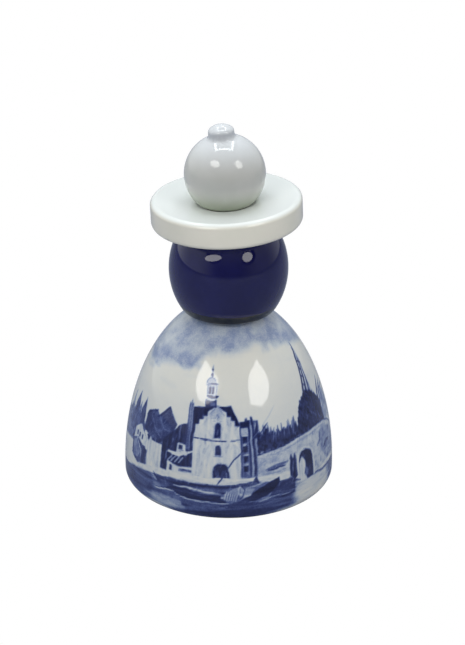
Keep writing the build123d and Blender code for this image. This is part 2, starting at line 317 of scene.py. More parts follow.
def window(points, margin):
    """Cells near a shape, their local places in millimetres, and the shape's own points."""
    points = np.asarray(points, float)
    across = degree_width(points[:, 1].mean())
    middle = (points[:, 0].min() + points[:, 0].max()) / 2
    first = math.floor((points[:, 0].min() - margin / across + 180) / DEGREES)
    last = math.ceil((points[:, 0].max() + margin / across + 180) / DEGREES)
    low = max(0, math.floor((points[:, 1].min() - margin) / CELL_HEIGHT))
    high = min(CANVAS_ROWS, math.ceil((points[:, 1].max() + margin) / CELL_HEIGHT) + 1)
    columns = np.arange(first, last + 1)
    cells = np.ix_(np.arange(low, high), columns % CELLS)
    x = ((columns * DEGREES - 180 - middle) * across)[None, :] + WOBBLE_ACROSS[cells]
    y = HEIGHTS[low:high, None] + WOBBLE_UP[cells]
    local = np.column_stack([(points[:, 0] - middle) * across, points[:, 1]])
    return cells, x, y, local


def along(x, y, points):
    """Distance to a chain of points, and how far along it (0 to 1) the nearest place is."""
    lengths = np.maximum(np.hypot(*np.diff(points, axis=0).T), 1e-6)
    starts = np.concatenate([[0], np.cumsum(lengths)])
    nearest = np.full(x.shape, 1e9)
    place = np.zeros(x.shape)
    for (ax, ay), (bx, by), length, start in zip(points, points[1:], lengths, starts):
        t = np.clip(((x - ax) * (bx - ax) + (y - ay) * (by - ay)) / length**2, 0, 1)
        gap = np.hypot(x - ax - t * (bx - ax), y - ay - t * (by - ay))
        closer = gap < nearest
        nearest = np.where(closer, gap, nearest)
        place = np.where(closer, (start + t * length) / starts[-1], place)
    return nearest, place


def is_inside(x, y, closed):
    """Whether places lie inside an outline that ends where it starts."""
    hit = np.zeros(np.shape(x), bool)
    for (ax, ay), (bx, by) in zip(closed, closed[1:]):
        if ay != by:
            crossing = (ay > y) != (by > y)
            hit ^= crossing & (x < ax + (y - ay) * (bx - ax) / (by - ay))
    return hit


def lay(cells, cover, wanted, texture, depth):
    """Lays paint of a wanted tone on some cells, with a texture of a given depth."""
    if texture:
        wanted = wanted + depth * TEXTURES[texture][cells]
    tone[cells] += (np.clip(wanted, 0, 1) - tone[cells]) * cover


def area(points, wanted, strength=1.0, soft=0.22, texture="upright", depth=0.07):
    """Fills an outline."""
    cells, x, y, local = window(points, soft + 0.8)
    closed = np.vstack([local, local[:1]])
    gap, _ = along(x, y, closed)
    signed = np.where(is_inside(x, y, closed), -gap, gap)
    lay(cells, strength * smoothstep(soft, -soft, signed), wanted, texture, depth)


def stroke(points, width, wanted, strength=1.0, taper=0.35, soft=0.16, texture=None, depth=0.06):
    """One pull of the brush along a chain of points, thinner towards its ends."""
    cells, x, y, local = window(points, width / 2 + soft + 0.6)
    gap, place = along(x, y, local)
    ends = np.minimum(place, 1 - place) / max(taper, 1e-3)
    half = width / 2 * np.clip(0.35 + ends, 0, 1)
    lay(cells, strength * smoothstep(half + soft, half - soft, gap), wanted, texture, depth)


def box(left, right, low, high):
    """Outline of an upright rectangle."""
    return [(left, low), (right, low), (right, high), (left, high)]


def arched(left, right, low, high):
    """Outline of an opening with a round top."""
    middle, half = (left + right) / 2, (right - left) / 2
    rise = half * degree_width(high)
    top = [(middle + half * math.cos(a), high - rise + rise * math.sin(a))
           for a in np.linspace(0, math.pi, 7)]
    return [(left, low), (right, low), *top]


def mirrored(points, axis):
    """A half outline followed by its mirror image."""
    return points + [(2 * axis - a, h) for a, h in reversed(points)]


def dabs(outline, count, length, lean, width, low_tone, high_tone, strength=0.7):
    """Many short strokes inside an outline, all leaning one way (degrees from the vertical)."""
    places = np.array(outline)
    low, high = places.min(axis=0), places.max(axis=0)
    for _ in range(count):
        azimuth, height = rng.uniform(low, high)
        angle = math.radians(lean + rng.normal(0, 14))
        reach = length * rng.uniform(0.6, 1.3)
        wanted = rng.uniform(low_tone, high_tone)
        if not is_inside(azimuth, height, [*outline, outline[0]]):
            continue
        across = degree_width(height)
        step = (reach / 2 * math.sin(angle) / across, reach / 2 * math.cos(angle))
        ends = [(azimuth - step[0], height - step[1]), (azimuth + step[0], height + step[1])]
        stroke(ends, width, wanted, strength)


def foliage(outline, wanted, count, spikes=0.0):
    """A leafy mass: a soft fill, light and dark dabs, and a ragged edge."""
    area(outline, wanted, 0.9, soft=0.6, texture="blots", depth=0.16)
    dabs(outline, count, 1.6, 10, 0.55, wanted - 0.2, wanted - 0.02, 0.55)
    dabs(outline, count, 1.5, -15, 0.6, wanted + 0.05, wanted + 0.22, 0.75)
    for (ax, ay), (bx, by) in zip(outline, outline[1:]):
        if min(ay, by) <= min(h for _, h in outline) + 1:
            continue
        for _ in range(round(abs(bx - ax) * 0.9 + abs(by - ay) * 0.9)):
            t = rng.uniform()
            foot = (ax + t * (bx - ax), ay + t * (by - ay) - 0.6)
            tip = (foot[0] + rng.normal(0, 0.7), foot[1] + 1.3 + spikes * rng.uniform(0.2, 1.3))
            stroke([foot, tip], 0.6, wanted + 0.05, 0.8, taper=0.8)


def windows(left, right, low, high, columns, rows, wanted=0.72, share=0.5):
    """Rows of small panes in a wall, each with a pale sill."""
    pitch = (right - left) / columns
    storey = (high - low) / rows
    for row in range(rows):
        for column in range(columns):
            a = left + pitch * (column + 0.5 - share / 2)
            h = low + storey * (row + 0.28)
            pane = box(a, a + pitch * share, h, h + storey * 0.56)
            area(pane, wanted + rng.uniform(-0.1, 0.08), 0.9, soft=0.18, texture=None)
            stroke([(a - 0.3, h - 0.15), (a + pitch * share + 0.3, h - 0.15)], 0.3, 0.05, 0.7)


# the quay dips towards both sides of the front view and runs level round the back
QUAY_AZIMUTHS = (-110, -75, -48, -33, -5, 17, 38, 60, 90)
QUAY_LOW = (10.6, 11.2, 15.7, 16.6, 17.1, 17.6, 15.0, 12.8, 11.2)
QUAY_HIGH = (12.6, 13.0, 18.5, 19.7, 20.3, 19.6, 18.8, 15.8, 13.2)

# lower edge of the clouds
CLOUD_AZIMUTHS = (-150, -118, -80, -64, -41, -31, -25, -13, 1, 27, 61, 101, 140)
CLOUD_LOW = (61, 63, 56.5, 59.7, 62.2, 61.3, 65.4, 69.5, 68.4, 70.7, 67.2, 61.2, 65)

# light and dark places in the water: azimuth, height, reach in degrees, rise in mm, tone
WATER_PATCHES = (
    (-72, 9, 20, 6, 0.70),
    (-36, 5.5, 15, 2.8, 0.28),
    (-44, 1.5, 13, 1.7, 0.10),
    (-58, 1.0, 22, 1.5, 0.22),
    (5, 2.5, 34, 2.6, 0.66),
    (8, 3.4, 30, 2.6, 0.86),
    (55, 7, 19, 10.0, 0.02),
    (58, 1.5, 42, 2.6, 0.06),
    (95, 6, 16, 5.0, 0.42),
    (140, 4, 26, 3.2, 0.30),
    (-140, 5, 30, 3.5, 0.34),
    (-105, 3, 18, 3.0, 0.30),
)


def quay_low(azimuth):
    """Height of the quay's lower edge all round the dome."""
    return np.interp(azimuth, QUAY_AZIMUTHS, QUAY_LOW, period=360)


def quay_high(azimuth):
    """Height of the quay's upper edge."""
    return np.interp(azimuth, QUAY_AZIMUTHS, QUAY_HIGH, period=360)


def cloud_low(azimuth):
    """Height of the clouds' lower edge."""
    return np.interp(azimuth, CLOUD_AZIMUTHS, CLOUD_LOW, period=360)


def paint_sky():
    """Bare glaze with a faint veil at the horizon, and soft grey-blue clouds above."""
    veil = smoothstep(60, 36, HEIGHTS)[:, None]
    tone[:] = 0.03 + 0.055 * veil + 0.025 * DRIFT
    edge = cloud_low(AZIMUTHS)[None, :]
    above = HEIGHTS[:, None] - edge - 1.5 * DRIFT - 0.35 * MOTTLE
    cover = smoothstep(-1.2, 3.0, above)
    depth = 0.255 + 0.12 * DRIFT + 0.05 * MOTTLE
    base = 0.09 * smoothstep(8, 1.5, above)
    tone[:] += (depth + base - tone) * cover


def paint_clouds():
    """Broad drifting strokes over the clouds, and thin wisps below them."""
    for _ in range(170):
        azimuth = rng.uniform(-180, 180)
        edge = float(cloud_low(azimuth))
        height = rng.uniform(edge + 1.0, 77)
        reach = rng.uniform(4, 13)
        rise = rng.normal(0.4, 1.1)
        path = [(azimuth - reach, height - rise), (azimuth, height + 0.5),
                (azimuth + reach, height + rise)]
        stroke(path, rng.uniform(1.2, 3.4), rng.uniform(0.08, 0.48), 0.3, soft=1.0)
    for _ in range(40):
        azimuth = rng.uniform(-180, 180)
        height = float(cloud_low(azimuth)) + rng.uniform(-1.5, 2.5)
        reach = rng.uniform(2, 6)
        path = [(azimuth - reach, height + rng.normal(0, 0.6)), (azimuth + reach, height)]
        stroke(path, rng.uniform(0.8, 1.8), rng.uniform(0.3, 0.46), 0.4, soft=0.8)
    for _ in range(26):
        azimuth = rng.uniform(-180, 180)
        height = rng.uniform(50, 64)
        reach = rng.uniform(3, 9)
        path = [(azimuth - reach, height), (azimuth + reach, height + rng.normal(0, 0.8))]
        stroke(path, rng.uniform(1.0, 2.2), 0.13, 0.3, soft=0.9)


def paint_quay():
    """A pale band of stone with a shaded lower edge, all round the dome."""
    height = HEIGHTS[:, None] + WOBBLE_UP
    low, high = quay_low(AZIMUTHS)[None, :], quay_high(AZIMUTHS)[None, :]
    cover = smoothstep(low - 0.2, low + 0.2, height) * smoothstep(high + 0.2, high - 0.2, height)
    wanted = 0.08 + 0.06 * BLOTS + 0.04 * LEVEL
    tone[:] += (np.clip(wanted, 0, 1) - tone) * cover
    shade = smoothstep(low - 1.6, low - 0.5, height) * smoothstep(low + 0.15, low - 0.25, height)
    tone[:] += (0.72 + 0.12 * LEVEL - tone) * shade * 0.8
    for _ in range(120):
        azimuth = rng.uniform(-180, 180)
        share = rng.uniform(0.1, 0.9)
        height = float(quay_low(azimuth) * (1 - share) + quay_high(azimuth) * share)
        reach = rng.uniform(1, 5)
        rise = float(quay_low(azimuth + reach) - quay_low(azimuth - reach)) / 2
        stroke([(azimuth - reach, height - rise), (azimuth + reach, height + rise)],
               rng.uniform(0.3, 0.7), rng.uniform(0.02, 0.34), 0.5, soft=0.2)


def paint_water():
    """Washes under the quay, darkest in the middle of the front, with level ripples."""
    height = HEIGHTS[:, None] + WOBBLE_UP
    low = quay_low(AZIMUTHS)[None, :]
    cover = smoothstep(low + 0.15, low - 0.25, height)
    wanted = 0.55 + 0.12 * LEVEL + 0.12 * MOTTLE
    tone[:] += (np.clip(wanted, 0, 1) - tone) * cover
    for azimuth, height, reach, rise, wanted in WATER_PATCHES:
        gap = (AZIMUTHS[None, :] - azimuth + 180) % 360 - 180
        near = np.hypot(gap / reach, (HEIGHTS[:, None] - height) / rise) + 0.16 * MOTTLE
        patch = smoothstep(1.15, 0.55, near) * cover
        tone[:] += (wanted + 0.06 * LEVEL - tone) * patch * 0.85


def paint_ripples():
    """Level strokes on the water, pale and dark."""
    for _ in range(430):
        azimuth = rng.uniform(-180, 180)
        height = rng.uniform(0.4, float(quay_low(azimuth)) - 1.0)
        reach = rng.uniform(1.5, 7.5)
        bend = rng.normal(0, 0.25)
        here = tone[int(height / CELL_HEIGHT), int((azimuth + 180) / DEGREES) % CELLS]
        wanted = here + rng.choice([-0.16, 0.14, 0.2])
        path = [(azimuth - reach, height), (azimuth, height + bend), (azimuth + reach, height)]
        stroke(path, rng.uniform(0.3, 0.9), wanted, 0.5, taper=0.5, soft=0.22)


def house(left, right, base, eaves, ridge, wall, gable="plain", panes=(2, 3), roof=0.72):
    """A gabled front that stands on the quay: plain, stepped, bell shaped or with a neck."""
    middle = (left + right) / 2
    half = (right - left) / 2
    rise = ridge - eaves
    if gable == "stepped":
        outline = [(left, base)]
        for step in range(4):
            outline.append((left + half * step / 4.6, eaves + rise * step / 4))
            outline.append((left + half * step / 4.6, eaves + rise * (step + 1) / 4))
        outline.append((middle - half * 0.16, ridge))
    elif gable == "bell":
        curve = [(1.0, 0.0), (0.82, 0.10), (0.58, 0.42), (0.45, 0.75), (0.2, 0.97), (0.0, 1.0)]
        outline = [(left, base)] + [(middle - half * a, eaves + rise * h) for a, h in curve]
    elif gable == "neck":
        shape = [(1.0, 0.0), (0.86, 0.28), (0.55, 0.36), (0.5, 0.8), (0.3, 0.84), (0.0, 1.0)]
        outline = [(left, base)] + [(middle - half * a, eaves + rise * h) for a, h in shape]
    else:
        outline = [(left, base), (left, eaves), (middle, ridge)]
    behind = [(left + 0.3, eaves - 0.5), (left + 0.5, ridge - rise * 0.35),
              (right - 0.5, ridge - rise * 0.35), (right - 0.3, eaves - 0.5)]
    area(behind, roof, 0.9)
    area(mirrored(outline, middle), wall, depth=0.08)
    for one in (outline, [(2 * middle - a, h) for a, h in outline]):
        stroke(one, 0.32, wall + 0.4, 0.65, taper=0.05)
    columns, rows = panes
    windows(left + half * 0.12, right - half * 0.12, base + 3.2, eaves, columns, rows)
    door = left + half * rng.choice([0.35, 1.2])
    area(arched(door, door + half * 0.42, base, base + 3.0), 0.78)
    area(box(middle - half * 0.14, middle + half * 0.14, eaves + rise * 0.25, eaves + rise * 0.52), 0.7)


def tree(azimuth, base, crown_low, crown_high, reach, wanted=0.66):
    """A round leafy tree on a thin trunk."""
    stroke([(azimuth, base), (azimuth + 0.4, crown_low + 1)], 0.6, 0.8, 0.9, taper=0.1)
    middle, rise = (crown_low + crown_high) / 2, (crown_high - crown_low) / 2
    outline = [(azimuth + reach * math.cos(a), middle + rise * math.sin(a))
               for a in np.linspace(-math.pi / 2, 1.5 * math.pi, 10)[:-1]]
    foliage(outline, wanted, 26)


def poplar(azimuth, base, top, reach, wanted=0.66):
    """A tall narrow tree with a soft pointed crown."""
    outline = [(azimuth - reach, base), (azimuth - reach * 0.9, base + (top - base) * 0.6),
               (azimuth, top), (azimuth + reach * 0.9, base + (top - base) * 0.55),
               (azimuth + reach, base)]
    area(outline, wanted, 0.9, soft=0.4, texture="blots", depth=0.14)
    dabs(outline, 12, 2.4, 0, 0.5, wanted - 0.1, wanted + 0.2)


def boat(stern, bow, deck, keel, lift, wanted=0.85):
    """A long rowing boat: dark hull, paler inside, a light line along the gunwale."""
    middle = (stern + bow) / 2
    half = (bow - stern) / 2
    steps = np.linspace(-1, 1, 9)
    sheer = [(middle + half * s, deck + lift * s * s * (1.0 if s > 0 else 0.45)) for s in steps]
    bottom = [(middle + half * 0.94 * s, keel + (deck - keel) * abs(s) ** 3) for s in reversed(steps)]
    area(sheer + bottom, wanted, texture="level", depth=0.08)
    inner = [(a, h - 0.75 * (1 - ((a - middle) / half) ** 2)) for a, h in sheer]
    area(sheer + inner[::-1], wanted - 0.16, 0.8, texture="level")
    stroke(inner, 0.36, 0.18, 0.8, taper=0.15)
    stroke([(a, h + 0.1) for a, h in sheer], 0.3, 0.9, 0.8, taper=0.15)


def paint_left_town():
    """Poplars, big tiled roofs and small white houses at the left of the front."""
    # trees behind the town
    poplar(-79, 33, 43.5, 2.0, 0.40)
    poplar(-71.0, 31, 45.4, 3.2, 0.70)
    poplar(-66.4, 31, 42.0, 2.2, 0.52)
    poplar(-61.6, 31, 45.0, 2.8, 0.74)
    foliage([(-88, 22), (-88, 33), (-78, 36), (-66, 36.5), (-57, 34), (-57, 25)], 0.62, 40, 0.6)
    # two big tiled roofs
    barn = [(-58, 33), (-57, 38.4), (-55.5, 40.4), (-48.5, 42.8), (-46, 41), (-40.6, 44.9),
            (-39.3, 45.6), (-32.2, 40.3), (-37, 32), (-49, 30)]
    area(barn, 0.70, texture="blots", depth=0.14)
    stroke([(-57, 38.6), (-55.5, 40.5), (-48.5, 42.9)], 0.9, 0.92, 0.9)
    stroke([(-47, 40.6), (-40.6, 44.9), (-39.3, 45.6), (-37.4, 44.2)], 1.0, 0.92, 0.9)
    stroke([(-53, 40.2), (-48, 35.5), (-41, 31.5)], 0.4, 0.34, 0.6)
    stroke([(-46, 41), (-41.5, 36.5), (-36, 36.2)], 0.4, 0.36, 0.6)
    dabs(barn, 60, 2.2, 35, 0.4, 0.48, 0.86, 0.5)
    # the dark side of the street, with a chimney
    shadow = [(-54, 31.2), (-46, 30.5), (-39, 33.4), (-30.6, 40.2), (-23.7, 42), (-20.5, 42.3),
              (-20, 31), (-30, 29), (-40, 29), (-52, 29)]
    area(shadow, 0.86, depth=0.10)
    dabs(shadow, 34, 2.6, 2, 0.36, 0.55, 0.98, 0.5)
    stroke([(-29.8, 34), (-29.5, 41.2)], 0.5, 0.34, 0.7)
    area(box(-25.3, -22.5, 31, 50.0), 0.52, depth=0.14)
    stroke([(-25.2, 31), (-25.2, 50.3)], 0.4, 0.82, 0.8, taper=0.1)
    stroke([(-22.7, 31), (-22.7, 49.6)], 0.32, 0.25, 0.8, taper=0.1)
    stroke([(-24.0, 49.8), (-23.6, 51.4)], 0.5, 0.6, 0.8)
    # a small white house, and the dark gable before it
    white = [(-67, 24), (-66.5, 30.5), (-61, 33.6), (-53.5, 28.5), (-53, 24)]
    area(white, 0.13, depth=0.09)
    stroke([(-66.8, 30.7), (-61, 33.8), (-53.2, 28.6)], 0.4, 0.6, 0.7)
    for azimuth in (-64.0, -61.2, -58.2):
        area(box(azimuth, azimuth + 1.2, 27.6, 29.6), 0.78)
    stroke([(-65, 24.5), (-65, 30)], 0.4, 0.4, 0.6)
    gable = [(-68, 18), (-68, 25.8), (-63, 27.2), (-52.5, 24), (-51.5, 17.4), (-60, 15.6)]
    area(gable, 0.74, depth=0.16)
    dabs(gable, 30, 2.0, 50, 0.42, 0.5, 0.95, 0.6)
    area([(-67, 25), (-62, 26.5), (-58.5, 21.0), (-61, 18.2), (-66, 17.4)], 0.42, 0.8,
         depth=0.2)
    stroke([(-68, 25.6), (-63.5, 27), (-58, 22.5), (-57.6, 19)], 0.7, 0.1, 0.8)
    # the long white front and the alley beside it
    front = [(-52, 17.6), (-52, 27), (-50.6, 31.4), (-48.6, 30), (-39.8, 29.6), (-39.6, 18.9)]
    area(front, 0.13, depth=0.11)
    stroke([(-50.6, 31.6), (-48.6, 30), (-39.8, 29.6)], 0.5, 0.75, 0.8)
    stroke([(-51.6, 18), (-51.8, 27), (-50.6, 31)], 0.5, 0.30, 0.7)
    dabs(front, 20, 4.0, 0, 0.5, 0.1, 0.34, 0.55)
    area(box(-40.6, -36.2, 19.6, 30.2), 0.88)
    # a striped awning under a dormer
    awning = [(-38, 24.3), (-36.4, 27.8), (-28.6, 27.0), (-19.8, 30.5), (-19.8, 21.4), (-29, 22.6)]
    area(awning, 0.88, depth=0.08)
    for start in np.linspace(-36.0, -29.0, 4):
        stroke([(start, 24.2), (start + 3.2, 27.2)], 0.62, 0.2, 0.85, taper=0.15)
    stroke([(-37.8, 24.1), (-36.6, 28.0), (-29, 27.2)], 0.36, 0.2, 0.8)
    dormer = [(-30.6, 28.6), (-30.4, 32.6), (-29.6, 33.1), (-25.2, 32.7), (-24.6, 30.2), (-23.8, 28.2),
              (-25.2, 28.2), (-26.2, 30.0)]
    area(dormer, 0.15)
    area(box(-29.2, -26.8, 30.3, 32.0), 0.82)
    stroke([(-31.4, 27.6), (-29.4, 28.4), (-26.2, 28.9), (-24.4, 27.2)], 0.4, 0.2, 0.8)
    # the low wall by the quay
    wall = [(-36.2, 20), (-36.0, 24.4), (-29, 23.0), (-19.6, 23.6), (-19.6, 20.2)]
    area(wall, 0.12, depth=0.08)
    stroke([(-36.0, 24.3), (-29, 23.0), (-19.6, 23.7)], 0.32, 0.5, 0.7)
    area(arched(-34.2, -32.6, 20.6, 22.9), 0.8)
    area(box(-28.4, -20.4, 21.0, 22.3), 0.66, 0.9, texture="blots", depth=0.2)


def paint_gatehouse():
    """A stepped gable with a round gate, under a small open lantern."""
    # the dark roof behind the stepped front
    roof = [(-22.4, 41.5), (-22.4, 48.8), (-15.0, 49.4), (1.8, 50.1), (7.0, 42.6), (5.4, 41.5)]
    area(roof, 0.92, depth=0.06)
    centre = -7.2
    half = [(-20.6, 19.8), (-20.6, 42.0), (-18.2, 42.2), (-18.2, 44.2), (-15.8, 44.4), (-15.8, 45.8),
            (-13.5, 45.9), (-13.5, 47.6), (-7.2, 50.0)]
    front = mirrored(half, centre)
    area(front, 0.13, depth=0.10)
    for side in (half, [(2 * centre - a, h) for a, h in half]):
        stroke(side[1:], 0.34, 0.42, 0.6, taper=0.05)
    area([(-12.4, 46.8), (-7.2, 49.6), (-2.0, 46.8), (-3.2, 44.8), (-11.2, 44.8)], 0.34, 0.7,
         texture="blots", depth=0.14)
    stroke([(-12.6, 46.6), (-7.2, 49.8), (-1.8, 46.6)], 0.4, 0.5, 0.8)
    stroke([(-7.9, 45.4), (-7.0, 46.6), (-6.0, 45.5), (-7.0, 44.7)], 0.4, 0.55, 0.8)
    # string courses, windows and the gate
    stroke([(-20.4, 36.6), (-1.2, 35.9)], 0.5, 0.86, 0.95, taper=0.1)
    stroke([(0.7, 36.2), (6.2, 36.4)], 0.5, 0.72, 0.9, taper=0.1)
    stroke([(-9.6, 43.9), (-6.3, 44.3), (-3.2, 43.9)], 0.36, 0.5, 0.7)
    area(arched(-9.0, -3.8, 36.9, 43.8), 0.32, 0.85)
    area(arched(-8.1, -4.6, 37.4, 43.2), 0.86, depth=0.12)
    stroke([(-6.6, 38.4), (-6.2, 41.0)], 0.5, 0.42, 0.8)
    area(box(-8.9, -2.9, 29.6, 34.6), 0.2, 0.8)
    area(arched(-7.7, -4.2, 30.1, 34.3), 0.84, depth=0.1)
    stroke([(-8.6, 29.7), (-3.2, 29.7)], 0.36, 0.6, 0.8)
    area(arched(-9.4, 1.2, 20.2, 27.2), 0.3, 0.8)
    area(arched(-8.4, 0.3, 20.2, 26.5), 0.90, texture="mottle", depth=0.07)
    area([(-5.2, 20.4), (-3.0, 23.4), (-0.6, 22.4), (0.0, 20.4)], 0.6, 0.6)
    # stains on the plaster
    dabs(front, 60, 4.6, 0, 0.6, 0.02, 0.36, 0.42)
    area(box(-19.6, -17.0, 37.0, 41.6), 0.26, 0.5)
    area(box(-13.6, -11.0, 30, 34.5), 0.24, 0.4)
    area(box(2.6, 4.2, 28.8, 34.6), 0.30, 0.7)
    stroke([(-16.2, 21), (-16.4, 33.5)], 0.5, 0.3, 0.5)
    stroke([(-20.4, 20.0), (-9.8, 20.2)], 0.4, 0.5, 0.6)
    # the lantern: its base, ledge, open storey, cap and finial
    area(box(-15.2, -7.6, 49.2, 52.4), 0.82, texture="blots", depth=0.14)
    area(box(-11.6, -8.6, 49.8, 51.2), 0.46, 0.8)
    stroke([(-15.8, 52.6), (-11, 51.9), (-6.8, 52.3)], 0.5, 0.08, 0.95, taper=0.1)
    stroke([(-14.6, 53.5), (-10.6, 53.1), (-6.6, 53.5)], 0.8, 0.92, 1.0, taper=0.15)
    area(box(-14.2, -8.4, 53.9, 57.3), 0.16, depth=0.08)
    for azimuth in (-13.8, -11.8):
        area(box(azimuth, azimuth + 1.3, 54.2, 56.9), 0.84)
    stroke([(-14.6, 53.8), (-14.8, 57.4)], 0.34, 0.6, 0.9, taper=0.1)
    stroke([(-8.6, 53.8), (-8.6, 57.4)], 0.34, 0.5, 0.9, taper=0.1)
    stroke([(-16.0, 57.8), (-11.8, 57.9), (-7.4, 57.8)], 0.5, 0.88, 1.0, taper=0.25)
    cap = [(-15.8, 58.2), (-15.4, 59.2), (-14.2, 60.0), (-12.4, 60.5), (-10.6, 60.0), (-9.2, 59.2),
           (-8.6, 58.2)]
    area(cap, 0.26, texture="mottle", depth=0.1)
    stroke(cap[:6], 0.34, 0.62, 0.9, taper=0.1)
    stroke([(-12.5, 60.4), (-12.9, 63.4)], 0.36, 0.74, 0.9, taper=0.1)
    for height in (61.2, 62.8):
        area(box(-13.7, -12.0, height - 0.35, height + 0.35), 0.86, soft=0.2)


def paint_centre_right():
    """A narrow house, a small gable and a clipped hedge behind the wall."""
    # the narrow house
    area(box(6.8, 18.2, 20.0, 43.9), 0.56, depth=0.16)
    area(box(7.4, 12.0, 37.8, 41.2), 0.26, 0.9, texture="blots")
    area(box(7.2, 12.2, 41.4, 43.9), 0.88)
    for height in (24.0, 28.2, 32.4, 36.2):
        area(box(8.3, 10.8, height - 1.3, height + 1.3), 0.94)
        stroke([(8.2, height + 1.75), (11.0, height + 1.75)], 0.5, 0.14, 0.85, taper=0.1)
    stroke([(7.0, 20.5), (7.0, 44)], 0.5, 0.8, 0.8, taper=0.1)
    for azimuth, wanted in ((12.4, 0.9), (13.6, 0.25), (14.9, 0.92), (16.6, 0.22), (17.8, 0.8)):
        stroke([(azimuth, 20.6), (azimuth - 0.6, 43.4)], 0.62, wanted, 0.85, taper=0.1)
    area(box(13.2, 14.6, 42, 45.3), 0.86)
    area(box(9.8, 11.2, 43.4, 44.9), 0.7)
    area([(14.0, 36.4), (16.8, 42.2), (18.6, 36.8)], 0.86)
    # the small gable
    gable = [(17.4, 36.2), (20.4, 39.6), (23.8, 41.6), (24.6, 39.6), (26.0, 40.8), (27.2, 37.6),
             (26, 36)]
    area(gable, 0.16, depth=0.1)
    stroke([(16.8, 36.4), (20.4, 40.0), (24.0, 42.0)], 0.5, 0.82, 0.9)
    area([(20.4, 37.8), (22.2, 40.0), (24.2, 39.8), (22.4, 37.6)], 0.86)
    # the hedge, with its spiky top
    hedge = [(16.6, 30.6), (16.6, 36.4), (20, 37.0), (26, 36.8), (31, 37.4), (36, 37.6), (40, 37.2),
             (44, 37.4), (46, 33.4), (34, 31.6), (24, 30.4)]
    foliage(hedge, 0.90, 90, 0.8)
    for azimuth in np.arange(18.4, 43, 1.15):
        top = rng.uniform(37.6, 41.6)
        foot = azimuth + rng.normal(0, 0.3)
        stroke([(foot, 34), (foot + rng.normal(0.3, 0.5), top)], 0.85, rng.uniform(0.66, 0.94), 0.85,
               taper=0.9)
    for azimuth in (27.0, 30.2, 34.4, 37.8, 41.0):
        stroke([(azimuth, 34.6), (azimuth + 0.2, 38.0)], 0.5, 0.36, 0.6, taper=0.9)


def paint_church():
    """A tall thin spire behind a dense round tree, at the right of the front."""
    # the spire and its lattice
    spire = [(56.0, 45), (56.4, 49.0), (61.2, 54.8), (65.1, 61.0), (69.4, 65.6), (68.4, 60.0),
             (66.6, 54.2), (66.5, 48.2), (65, 44)]
    area(spire, 0.50, 0.9, texture="blots", depth=0.22, soft=0.4)
    stroke([(55.8, 46), (61.0, 54.8), (64.9, 61.2), (69.8, 66.4)], 0.8, 0.92, 0.95, taper=0.2)
    stroke([(58.8, 45), (62.8, 53.4), (66.4, 60.4)], 0.9, 0.90, 0.9, taper=0.5)
    stroke([(63.0, 45), (65.4, 52.0), (67.6, 58.6)], 0.7, 0.84, 0.85, taper=0.5)
    stroke([(59.4, 49.0), (62.6, 55.0), (66.2, 60.6)], 0.44, 0.06, 0.9)
    stroke([(61.8, 46.6), (64.6, 53.4), (66.6, 57.6)], 0.5, 0.10, 0.85)
    for height in (48.0, 51.0, 54.0, 56.8, 59.4):
        left = 55.4 + (height - 46) * 0.66
        stroke([(left - 1.0, height - 0.4), (left + 1.2, height + 0.2), (left + 3.2, height - 1.0)],
               0.5, 0.88, 0.9, taper=0.6)
    # reeds and bushes beside it
    for shift in (0.0, 3.4, 7.0):
        path = [(69.0 + shift, 36.0), (73.4 + shift, 43.6), (80.6 + shift, 49.0 - shift * 0.7)]
        stroke(path, 1.3, rng.uniform(0.66, 0.86), 0.85, taper=0.7, texture="blots", depth=0.14)
    area([(70, 32), (71, 38), (76, 43), (84, 43), (90, 36), (90, 28)], 0.46, 0.7, soft=1.0,
         texture="blots", depth=0.2)
    # the round tree
    crown = [(46.0, 32.4), (45.0, 36.4), (46.4, 40.0), (48.6, 43.2), (52.0, 46.0), (56.0, 47.6),
             (60.6, 47.6), (65.0, 46.8), (69.4, 44.4), (73.6, 40), (74.0, 31.6), (60, 30.8), (50, 31)]
    foliage(crown, 0.95, 130)
    dabs(crown, 46, 2.4, -30, 0.5, 0.50, 0.70, 0.5)


